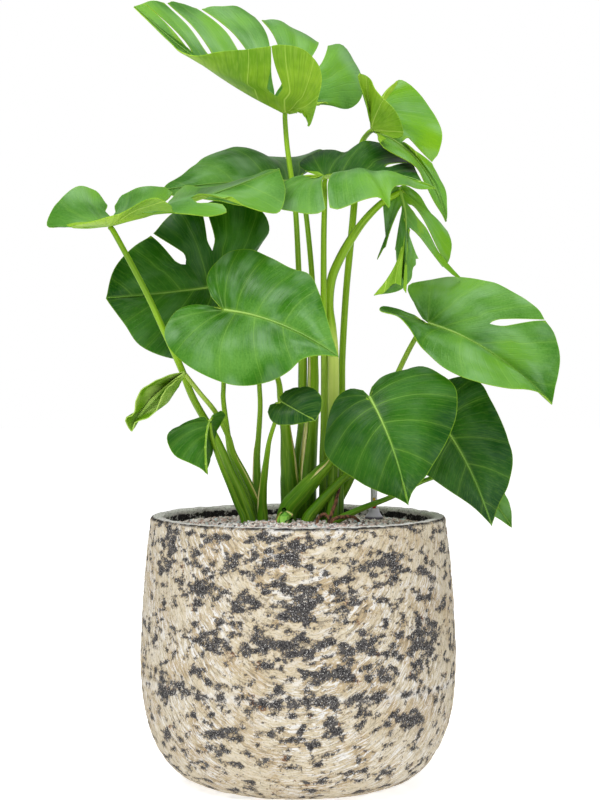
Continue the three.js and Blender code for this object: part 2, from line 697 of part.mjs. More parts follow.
    veins: { fan: 3, stations: 5 },
    rows: 3,
    stalk: [
      [-40, 10, 262, 6.4], [-41, 8, 300, 6.2], [-41, 0, 321, 5.2], [-39, -16, 345, 4.2],
      [-35, -36, 374, 3.2], [-32, -48, 392, 2.6], [-25, -64, 415, 2.3], [-20, -74, 434, 2],
    ],
  },
  {
    name: 'curled_left',
    rib: [[-127, -44, 467], [-162, -46, 438], [-186, -54, 402]],
    faces: [[0, -1, 0.3]],
    left: {
      edge: [
        [-137, -48, 459], [-148, -54, 449], [-154, -60, 438], [-158, -62, 426], [-168, -60, 417],
        [-181, -58, 413],
      ],
      bulge: [-0.3, -0.35, -0.3, -0.1],
    },
    right: {
      edge: [
        [-138, -48, 465], [-152, -54, 460], [-171, -60, 449], [-179, -62, 435], [-182, -62, 421],
        [-192, -58, 415],
      ],
      bulge: [-0.3, -0.35, -0.3, -0.1],
    },
    wave: [1, 2, 0],
    veins: { fan: 3, stations: 5 },
    rows: 3,
    stalk: [
      [-38, 22, 262, 5], [-41, 18, 302, 4.8], [-48, 10, 321, 4.6], [-61, 2, 349, 4.2],
      [-74, -8, 375, 3.8], [-79, -16, 394, 3.2], [-93, -28, 422, 2.9], [-111, -38, 445, 2.7],
      [-126, -43.5, 465, 2.4],
    ],
  },
  {
    name: 'small_behind',
    rib: [[201, 40, 341], [225, 44, 318], [248, 40, 286]],
    faces: [[0, -1, 0.3]],
    left: {
      edge: [
        [205, 42, 350], [216, 44, 352], [229, 46, 343], [239, 46, 327], [247, 44, 308],
      ],
      bulge: [0.05, 0.1, 0.1, 0],
    },
    right: {
      edge: [
        [193, 40, 343], [190, 38, 332], [197, 38, 319], [213, 38, 307], [232, 40, 296],
      ],
      bulge: [0.05, 0.1, 0.1, 0],
    },
    wave: [0.5, 2, 0],
    veins: { fan: 3, stations: 5 },
    rows: 3,
    stalk: [
      [25, -22, 262, 4.6], [32, -22, 292, 4.4], [51, -18, 303, 4], [74, -10, 313, 3.4],
      [106, 4, 324, 2.9], [146, 20, 342, 2.6], [179, 32, 349, 2.3], [200, 39, 342, 2],
    ],
  },
  {
    name: 'sheltered',
    rib: [[-49, 20, 503], [-68, 0, 524], [-104, -24, 506]],
    faces: [[-0.4, -1, 0.4], [-0.4, -1, 0]],
    left: {
      edge: [
        [-44, 18, 496], [-41, 14, 485], [-50, 8, 476], [-65, 0, 474], [-79, -8, 481],
        [-92, -16, 490],
      ],
      bulge: [0.05, 0.12, 0.1, 0],
    },
    right: {
      edge: [
        [-46, 24, 515], [-44, 26, 531], [-53, 24, 545], [-69, 16, 551], [-86, 4, 547],
        [-96, -10, 533], [-103, -18, 519],
      ],
      bulge: [0.05, 0.12, 0.1, 0],
    },
    wave: [1, 2, 0],
    veins: { fan: 4, stations: 7 },
    rows: 4,
    stalk: [
      [-44, 46, 262, 6], [-48, 46, 317, 5.6], [-48, 44, 341, 4.8], [-48, 42, 370, 4],
      [-46, 40, 392, 3.2], [-44, 37, 426, 2.9], [-45, 34, 452, 2.8], [-46, 27, 480, 2.6],
      [-49, 21, 500, 2.4],
    ],
  },
];

const group = new THREE.Group();
const finishes = {
  planter: { color: 0xb5a98f, roughness: 0.9 },
  granules: { color: 0xc9bfb8, roughness: 0.95 },
  roots: { color: 0x4a3526, roughness: 0.95 },
  blade: { color: 0x3f7a2e, roughness: 0.45 },
  stalk: { color: 0x6f9a35, roughness: 0.5 },
  clear_plastic: { color: 0xe8eaee, roughness: 0.15 },
  grey_plastic: { color: 0x8d8796, roughness: 0.4 },
  red_plastic: { color: 0xc22a1c, roughness: 0.4 },
};

function addPiece(name, geometry, finish) {
  const mesh = new THREE.Mesh(geometry, new THREE.MeshStandardMaterial({ metalness: 0, ...finishes[finish] }));
  mesh.name = name;
  group.add(mesh);
}

// The planter: a bellied bowl that narrows to a round-edged rim, as one turned profile
function outerRadius(z) {
  if (z >= POT_WIDEST_AT) {
    const t = (z - POT_WIDEST_AT) / (POT_HEIGHT - POT_WIDEST_AT);
    return POT_RADIUS - (POT_RADIUS - POT_RIM_RADIUS) * t ** POT_SHOULDER_POWER;
  }
  const level = 1 - z / POT_WIDEST_AT;
  return POT_BASE_RADIUS + (POT_RADIUS - POT_BASE_RADIUS) * (1 - level ** POT_BELLY_POWER) ** (1 / POT_BELLY_POWER);
}

const innerRadius = (z) => outerRadius(z) - POT_WALL;
const INNER_LEVELS = [FILL_HEIGHT, 230, POT_WIDEST_AT, 90, 55, 34];
const FLOOR_CORNER = 20;
const floorRadius = innerRadius(INNER_LEVELS.at(-1)) - FLOOR_CORNER;

function turned(profile, sides) {
  return new THREE.LatheGeometry(profile.map(([r, z]) => new THREE.Vector2(r, z)), sides).rotateX(Math.PI / 2);
}

function planterShell() {
  const profile = [[0, 0]];
  const belly = 10;
  for (let i = 0; i <= belly; i++) {
    const turn = (Math.PI / 2) * (i / belly);
    profile.push([
      POT_BASE_RADIUS + (POT_RADIUS - POT_BASE_RADIUS) * Math.sin(turn) ** (2 / POT_BELLY_POWER),
      POT_WIDEST_AT * (1 - Math.cos(turn) ** (2 / POT_BELLY_POWER)),
    ]);
  }
  const lipStart = POT_HEIGHT - POT_LIP_ROUND;
  for (const share of [0.33, 0.67, 1]) {
    const z = THREE.MathUtils.lerp(POT_WIDEST_AT, lipStart, share);
    profile.push([outerRadius(z), z]);
  }
  const top = outerRadius(POT_HEIGHT);
  profile.push([top - POT_LIP_ROUND, POT_HEIGHT], [top - POT_WALL + POT_LIP_ROUND, POT_HEIGHT]);
  for (const z of [lipStart, ...INNER_LEVELS]) profile.push([innerRadius(z), z]);
  profile.push([floorRadius, POT_FLOOR], [0, POT_FLOOR]);
  return turned(profile, POT_SIDES);
}

addPiece('planter', planterShell(), 'planter');

// The granules fill the planter to just under its rim, heaped a little round the stalks. The surface is
// pebbly: every corner of its rings is lifted or sunk by its own amount.
function fillSurface(radius, angle) {
  const share = radius / innerRadius(FILL_HEIGHT);
  const rough = Math.sin(radius * 1.9 + angle * 37) + Math.sin(radius * 0.7 - angle * 53);
  return FILL_HEIGHT + FILL_MOUND * (1 - share ** 2) + (share < 0.99 ? (PEBBLE_RELIEF / 2) * rough : 0);
}

function granuleFill() {
  const position = [];
  const faces = [];
  const rings = [];
  const ring = (radius, level) => {
    rings.push(position.length / 3);
    for (let k = 0; k < POT_SIDES; k++) {
      const angle = (2 * Math.PI * k) / POT_SIDES;
      position.push(radius * Math.cos(angle), radius * Math.sin(angle), level(angle));
    }
  };
  ring(floorRadius - GAP, () => POT_FLOOR + GAP);
  for (const z of [...INNER_LEVELS].reverse()) ring(innerRadius(z) - GAP, () => z);
  const wall = innerRadius(FILL_HEIGHT) - GAP;
  for (let i = 1; i < FILL_RINGS; i++) {
    const radius = wall * (1 - i / FILL_RINGS);
    ring(radius, (angle) => fillSurface(radius, angle));
  }
  for (let i = 0; i < rings.length - 1; i++) {
    for (let k = 0; k < POT_SIDES; k++) {
      const next = (k + 1) % POT_SIDES;
      const [a, b, c, d] = [rings[i] + k, rings[i] + next, rings[i + 1] + next, rings[i + 1] + k];
      faces.push(a, b, c, a, c, d);
    }
  }
  const bottom = position.length / 3;
  position.push(0, 0, POT_FLOOR + GAP, 0, 0, FILL_HEIGHT + FILL_MOUND);
  for (let k = 0; k < POT_SIDES; k++) {
    const next = (k + 1) % POT_SIDES;
    faces.push(bottom, next, k, bottom + 1, rings.at(-1) + k, rings.at(-1) + next);
  }
  return fromFaces(position, faces);
}

// The dark root ball that the stalks grow from, lumpy on top, standing in the granules
function rootBall(grow = 0) {
  const { x, y, radius, depth, proud, sides } = ROOT_BALL;
  const top = FILL_HEIGHT + FILL_MOUND + proud;
  const profile = [
    [0, top - depth - grow],
    [radius * 0.6 + grow, top - depth - grow],
    [radius * 0.9 + grow, top - depth * 0.75],
    [radius + grow, top - depth * 0.35],
    [radius * 0.96 + grow, top - 9],
    [radius * 0.86 + grow, top - 5 + grow],
    [radius * 0.55, top - 1 + grow],
    [radius * 0.25, top + grow],
    [0, top + grow],
  ];
  const ball = turned(profile, sides);
  const place = ball.attributes.position;
  for (let i = 0; i < place.count; i++) {
    const [px, py, pz] = [place.getX(i), place.getY(i), place.getZ(i)];
    const away = Math.hypot(px, py) / radius;
    const lump = away > 0.05 && pz > top - 8 ? 1.2 * Math.sin(px * 0.33) * Math.cos(py * 0.29) : 0;
    place.setXYZ(i, px + x, py + y, pz + lump);
  }
  return ball;
}

// A stalk or root that stands in others is cut clear of every blade and of the ones placed before it
const bladeCutters = LEAVES.map((leaf) => toSolid(bladeCutter(leaf)));
const placed = [];

function standing(name, route, finish, options) {
  const solid = cutClear(toSolid(stalkOf(route, options)), [...bladeCutters, ...placed]);
  placed.push(toSolid(stalkOf(route, { ...options, grow: GAP })));
  addPiece(name, toGeometry(solid), finish);
}

for (const leaf of LEAVES) {
  addPiece(`leaf_${leaf.name}_blade`, bladeOf(leaf), 'blade');
  standing(`leaf_${leaf.name}_stalk`, leaf.stalk, 'stalk');
}

// The short cut-back cane in front of the stalks, and the aerial roots that run into the granules
standing('cane_stub', [[-19, -22, 262, 9], [-16, -24, 300, 9], [-14, -26, 309, 8.4]], 'stalk', { sides: 12 });
const ROOTS = {
  upright: [[30, -30, 280, 1.6], [35, -24, 300, 2], [42, -16, 318, 2], [47, -8, 336, 1.5], [50, -2, 344, 0.9]],
  trailing: [[34, -34, 282, 1.4], [38, -34, 300, 2], [52, -26, 304, 2.1], [66, -16, 301, 1.6], [74, -10, 286, 1.2]],
  looping: [[18, -36, 280, 1.4], [22, -38, 302, 1.8], [30, -40, 308, 1.8], [36, -40, 298, 1.5], [38, -42, 280, 1.2]],
};
for (const [name, route] of Object.entries(ROOTS)) standing(`root_${name}`, route, 'roots', { sides: 6 });

// The water gauge: a flared collar on the granules, a clear tube with a closed top and a red float inside
const GAUGE = { x: 88, y: 46, foot: 232, top: 352, outer: 3.9, inner: 2.7, float: 2.2, sides: 16 };
const FLOAT = { body: 14, shoulder: 2, stem: 14 };
const COLLAR = { foot: 10.5, waist: 6, height: 12 };
const gaugeAt = (profile) => turned(profile, GAUGE.sides).translate(GAUGE.x, GAUGE.y, 0);
const gaugeLevel = FILL_HEIGHT + FILL_MOUND + GAP;

addPiece('gauge_tube', gaugeAt([
  [GAUGE.inner, GAUGE.foot],
  [GAUGE.outer, GAUGE.foot],
  [GAUGE.outer, GAUGE.top - 1.5],
  [GAUGE.outer - 1.5, GAUGE.top],
  [0, GAUGE.top],
  [0, GAUGE.top - 1.6],
  [GAUGE.inner, GAUGE.top - 2.6],
  [GAUGE.inner, GAUGE.foot],
]), 'clear_plastic');
addPiece('gauge_float', gaugeAt([
  [0, gaugeLevel],
  [GAUGE.float, gaugeLevel],
  [GAUGE.float, gaugeLevel + FLOAT.body],
  [GAUGE.float / 2, gaugeLevel + FLOAT.body + FLOAT.shoulder],
  [GAUGE.float / 2, gaugeLevel + FLOAT.body + FLOAT.shoulder + FLOAT.stem],
  [0, gaugeLevel + FLOAT.body + FLOAT.shoulder + FLOAT.stem],
]), 'red_plastic');
addPiece('gauge_collar', gaugeAt([
  [GAUGE.outer + GAP, gaugeLevel],
  [COLLAR.foot, gaugeLevel],
  [COLLAR.foot + 0.3, gaugeLevel + COLLAR.height * 0.12],
  [THREE.MathUtils.lerp(COLLAR.foot, COLLAR.waist, 0.45), gaugeLevel + COLLAR.height * 0.42],
  [THREE.MathUtils.lerp(COLLAR.foot, COLLAR.waist, 0.85), gaugeLevel + COLLAR.height * 0.7],
  [COLLAR.waist, gaugeLevel + COLLAR.height],
  [GAUGE.outer + GAP, gaugeLevel + COLLAR.height],
  [GAUGE.outer + GAP, gaugeLevel],
]), 'grey_plastic');

const gaugeHole = gaugeAt([
  [0, GAUGE.foot - GAP],
  [GAUGE.outer + GAP, GAUGE.foot - GAP],
  [GAUGE.outer + GAP, POT_HEIGHT + 5],
  [0, POT_HEIGHT + 5],
]);
addPiece('root_ball', toGeometry(cutClear(toSolid(rootBall()), placed)), 'roots');
const fillCutters = [...placed, toSolid(rootBall(2 * GAP)), toSolid(gaugeHole)];
addPiece('granules', toGeometry(cutClear(toSolid(granuleFill()), fillCutters)), 'granules');

export default group;
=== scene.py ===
# %% [markdown]
# # A potted swiss cheese plant
#
# A young split-leaf plant stands in pale mineral granules in a rounded, rough-cast planter. Waxy leaves,
# some whole and some cut into fingers, hang from long sheathed stalks. Beside the stalks stand a cut-back
# cane, a few brown aerial roots and a water gauge.
#
# Everything here is in metres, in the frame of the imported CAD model: Z is up, the camera looks along +Y,
# and the origin is the middle of the planter's flat base. The CAD solids are the frame. Each piece below
# takes the place of one or more of them, in finer shape and with its real finish.

# %% Load the frame
import math
import random

import bmesh
import bpy
import numpy as np
from mathutils import Matrix, Vector, noise


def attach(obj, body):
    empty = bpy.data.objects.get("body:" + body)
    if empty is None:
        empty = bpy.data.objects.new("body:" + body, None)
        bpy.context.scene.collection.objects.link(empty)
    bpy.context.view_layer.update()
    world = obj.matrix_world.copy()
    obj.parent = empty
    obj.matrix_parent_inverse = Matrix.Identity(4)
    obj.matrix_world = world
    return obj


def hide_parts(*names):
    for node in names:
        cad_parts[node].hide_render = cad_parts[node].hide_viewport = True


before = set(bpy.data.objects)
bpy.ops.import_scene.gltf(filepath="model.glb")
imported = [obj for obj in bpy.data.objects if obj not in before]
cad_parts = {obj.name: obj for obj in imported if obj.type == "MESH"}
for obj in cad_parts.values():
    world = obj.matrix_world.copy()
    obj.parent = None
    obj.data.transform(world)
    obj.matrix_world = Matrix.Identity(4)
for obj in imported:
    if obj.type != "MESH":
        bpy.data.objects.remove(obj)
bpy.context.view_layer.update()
MM = 0.001
scene = bpy.context.scene

# %% [markdown]
# ## Camera
#
# The photograph was taken from a little above the leaves with a long lens: the planter's rim shows as a
# thin ellipse, and nothing looks stretched. A camera 2.4 m away with a 95 mm lens gives that view.

# %% Camera
CAMERA_PLACE = Vector((0.002, -2.4, 0.509))
CAMERA_TARGET = Vector((0.002, 0, 0.435))
CAMERA_LENS = 94.9

camera = bpy.data.objects.new("camera", bpy.data.cameras.new("camera"))
camera.data.lens = CAMERA_LENS
camera.location = CAMERA_PLACE
camera.rotation_euler = (CAMERA_TARGET - CAMERA_PLACE).to_track_quat("-Z", "Y").to_euler()
scene.collection.objects.link(camera)
scene.camera = camera
print("camera", round((CAMERA_TARGET - CAMERA_PLACE).length, 2), "m from the plant")

# %% [markdown]
# ## Light and floor
#
# A product picture like this is lit by large soft boxes close to the object, in a white room. A soft box
# is an area light. The key light stands high in front on the left, and its broad reflection makes the
# waxy leaves look bluish white where they tilt towards it. A weaker one fills from the right, one hangs
# above, and the white room itself is the world's colour. Pale patches of painted sheen in the leaves'
# colour add to the key light's reflection.

# %% Light and floor
WHITE_ROOM = 0.46
WHITE_BACKDROP = 1.0
SOFT_BOXES = {
    "key": {"place": (-1.2, -1.8, 2.5), "size": 1.5, "power": 60},
    "fill": {"place": (1.8, -2.4, 1.1), "size": 1.6, "power": 16},
    "above": {"place": (0.3, -0.4, 2.8), "size": 1.8, "power": 36},
}
PLANT_MIDDLE = Vector((0, 0, 0.5))
FLOOR_REACH = 9


def soft_box(name, place, size, power):
    """One square area light that faces the plant."""
    light = bpy.data.lights.new(name, "AREA")
    light.size = size
    light.energy = power
    holder = bpy.data.objects.new(name, light)
    holder.location = place
    holder.rotation_euler = (PLANT_MIDDLE - Vector(place)).to_track_quat("-Z", "Y").to_euler()
    scene.collection.objects.link(holder)


for name, settings in SOFT_BOXES.items():
    soft_box(name, **settings)

scene.world = bpy.data.worlds.new("white_room")
scene.world.use_nodes = True
room = scene.world.node_tree.nodes["Background"]
room.inputs["Color"].default_value = (1, 1, 1, 1)
seen = scene.world.node_tree.nodes.new("ShaderNodeLightPath").outputs["Is Camera Ray"]
backdrop = scene.world.node_tree.nodes.new("ShaderNodeMapRange")
backdrop.inputs["To Min"].default_value = WHITE_ROOM
backdrop.inputs["To Max"].default_value = WHITE_BACKDROP
scene.world.node_tree.links.new(seen, backdrop.inputs["Value"])
scene.world.node_tree.links.new(backdrop.outputs[0], room.inputs["Strength"])
scene.view_settings.view_transform = "Standard"
print("soft boxes:", ", ".join(SOFT_BOXES))

# %% [markdown]
# ## Helpers for finishes
#
# Every finish is a procedural material: a tree of nodes that feeds one Principled shader. The small class
# below keeps that tree readable. Patterns are worked out from Object coordinates, which here are metres in
# the plant's own frame, or from attributes that a piece's mesh carries, such as the distance from a vein.

# %% Helpers for finishes
def paint(red, green, blue):
    """A colour as it looks on a screen, 0 to 255, turned into what a shader takes."""
    shares = [shade / 255 for shade in (red, green, blue)]
    return (*[((c + 0.055) / 1.055) ** 2.4 if c > 0.04 else c / 12.92 for c in shares], 1)


class Finish:
    """A material with one Principled shader, and short ways to build the pattern behind it."""

    def __init__(self, name, **constants):
        self.material = bpy.data.materials.new(name)
        self.material.use_nodes = True
        self.tree = self.material.node_tree
        self.shader = self.tree.nodes["Principled BSDF"]
        for socket, value in constants.items():
            self.shader.inputs[socket.replace("_", " ")].default_value = value

    def node(self, kind, inputs, **settings):
        made = self.tree.nodes.new("ShaderNode" + kind)
        for setting, value in settings.items():
            setattr(made, setting, value)
        for socket, value in inputs.items():
            self.put(made.inputs[socket], value)
        return made

    def put(self, socket, value):
        """Links a socket to another node's output, or sets it to a plain value."""
        if isinstance(value, bpy.types.NodeSocket):
            self.tree.links.new(value, socket)
        else:
            socket.default_value = value

    def place(self, scale=(1, 1, 1)):
        """Object coordinates, in metres, scaled."""
        plain = self.node("TexCoord", {}).outputs["Object"]
        return self.stretched(plain, scale)

    def stretched(self, vector, scale):
        """Coordinates times a scale: a pattern read from them is drawn out along the smallest."""
        return self.node("Mapping", {"Vector": vector, "Scale": scale}).outputs[0]

    def height(self):
        """Metres above the floor."""
        return self.node("SeparateXYZ", {"Vector": self.place()}).outputs["Z"]

    def grain(self):
        """The place on a tube as if it were straightened out."""
        return self.node("Attribute", {}, attribute_name="grain").outputs["Vector"]

    def blade(self):
        """The place on a leaf: how far round its edge, and how far out along a vein."""
        return self.node("UVMap", {}, uv_map="blade").outputs[0]

    def strokes(self, size, tilt=0.0):
        """Object coordinates tipped about X, then counted in strokes of the given size in metres."""
        plain = self.node("TexCoord", {}).outputs["Object"]
        inputs = {"Vector": plain, "Scale": size, "Rotation": (tilt, 0, 0)}
        return self.node("Mapping", inputs, vector_type="TEXTURE").outputs[0]

    def carried(self, name):
        """A number that the mesh carries at every corner."""
        return self.node("Attribute", {}, attribute_name=name).outputs["Fac"]

    def noise(self, vector, scale, detail=3.0, roughness=0.55, distortion=0.0):
        inputs = {"Vector": vector, "Scale": scale, "Detail": detail}
        inputs.update({"Roughness": roughness, "Distortion": distortion})
        return self.node("TexNoise", inputs).outputs[0]

    def cells(self, vector, scale):
        return self.node("TexVoronoi", {"Vector": vector, "Scale": scale}).outputs["Distance"]

    def math(self, operation, first, second=0.0, third=0.0):
        return self.node("Math", {0: first, 1: second, 2: third}, operation=operation).outputs[0]

    def step(self, value, low, high, start=0.0, end=1.0):
        """A smooth rise from start to end as the value goes from low to high."""
        inputs = {"Value": value, "From Min": low, "From Max": high, "To Min": start, "To Max": end}
        return self.node("MapRange", inputs, interpolation_type="SMOOTHSTEP").outputs[0]

    def blend(self, share, first, second):
        return self.node("Mix", {0: share, 6: first, 7: second}, data_type="RGBA").outputs[2]

    def shades(self, value, stops):
        """A colour ramp through (place, colour) stops."""
        ramp = self.node("ValToRGB", {"Fac": value})
        elements = ramp.color_ramp.elements
        while len(elements) < len(stops):
            elements.new(1)
        for element, (at, colour) in zip(elements, stops):
            element.position = at
            element.color = colour
        return ramp.outputs[0]

    def finish(self, colour, roughness=None, height=None):
        """Feeds the shader: its colour, its roughness, and a height in metres as bump."""
        self.put(self.shader.inputs["Base Color"], colour)
        if roughness is not None:
            self.put(self.shader.inputs["Roughness"], roughness)
        if height is not None:
            bump = self.node("Bump", {"Height": height, "Strength": 1.0, "Distance": 1.0})
            self.put(self.shader.inputs["Normal"], bump.outputs[0])
        return self.material


print("finish helpers ready")

# %% [markdown]
# ## Helpers for pieces
#
# A piece is modelled in a bmesh and becomes one object at the origin, with its place in its mesh. It rides
# on the plant's only body, takes its finishes, and hides the CAD solids it stands for.
# The floor is made here too, now that there are finishes. It is only the stage, and no part of the plant.

# %% Helpers for pieces, and the floor
def add_piece(name, bm, materials, replaces):
    """Turns a bmesh into a finished piece of the plant."""
    mesh = bpy.data.meshes.new(name)
    bm.to_mesh(mesh)
    bm.free()
    for material in materials:
        mesh.materials.append(material)
    mesh.shade_smooth()
    piece = bpy.data.objects.new(name, mesh)
    scene.collection.objects.link(piece)
    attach(piece, "root")
    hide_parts(*replaces)
    print(name, len(mesh.polygons), "faces")
    return piece


floor_mesh = bmesh.new()
bmesh.ops.create_grid(floor_mesh, x_segments=1, y_segments=1, size=FLOOR_REACH)
floor_finish = Finish("pale_floor", Roughness=0.9, Emission_Color=(1, 1, 1, 1), Emission_Strength=0.66)
floor_grain = floor_finish.noise(floor_finish.place(), 40)
floor_colour = floor_finish.blend(floor_grain, paint(238, 238, 238), paint(244, 244, 244))
floor_data = bpy.data.meshes.new("floor")
floor_mesh.to_mesh(floor_data)
floor_mesh.free()
floor_data.materials.append(floor_finish.finish(floor_colour))
floor = bpy.data.objects.new("floor", floor_data)
scene.collection.objects.link(floor)

# %% [markdown]
# ## Smooth lines through a few points
#
# A leaf's edge, a stalk and a root are all smooth lines through a few points. The same Catmull-Rom curve
# shaped the CAD solids, so a finer piece made with it lies exactly where its solid does.

# %% Smooth lines
def smooth(share):
    share = np.clip(share, 0, 1)
    return share * share * (3 - 2 * share)


def mix(first, second, share):
    return first + (second - first) * share


def spline(points, places):
    """Points at places 0 to 1 on the smooth curve through the given points, as one row each."""
    points = np.asarray(points, float)
    ends = [2 * points[:1] - points[1:2], points, 2 * points[-1:] - points[-2:-1]]
    padded = np.vstack(ends)
    along_line = np.clip(places, 0, 1) * (len(points) - 1)
    first = np.minimum(along_line.astype(int), len(points) - 2)
    share = (along_line - first)[:, None]
    before, start, end, after = (padded[first + k] for k in range(4))
    leaving = (end - before) / 2
    arriving = (after - start) / 2
    bend = 3 * (end - start) - 2 * leaving - arriving
    twist = 2 * (start - end) + leaving + arriving
    return start + leaving * share + bend * share**2 + twist * share**3


def along(values, places):
    """Values spaced evenly from 0 to 1, read at any places between."""
    values = np.asarray(values, float)
    at = np.clip(places, 0, 1) * (len(values) - 1)
    first = np.minimum(at.astype(int), len(values) - 2)
    return mix(values[first], values[first + 1], smooth(at - first))


def direction(vectors):
    """Rows scaled to length 1."""
    return vectors / np.maximum(np.linalg.norm(vectors, axis=-1, keepdims=True), 1e-9)


print("a point halfway along a bent line:", spline([(0, 0), (1, 1), (2, 0)], np.array([0.25]))[0].round(2))

# %% [markdown]
# ## The leaves' lines
#
# Sixteen leaves, in millimetres. `rib` is the midrib's start at the stalk, its middle and its tip. `faces`
# is the way the upper side looks at the start and at the tip. Each half, seen from above with the tip
# ahead, has its `edge` from the notch round to the tip, how far its veins `bulge` upward as a share of
# their length, and its `slits` as (point on the edge, start along the vein, width, width of the mouth).
# `meets` says which point of the edge the veins from some places on the midrib reach, and `bow` how far
# they bow back. `wave` is the ripple near the edge: its height, how many, and where they start. `stalk`
# runs from the foot up to the blade as (x, y, z, radius).

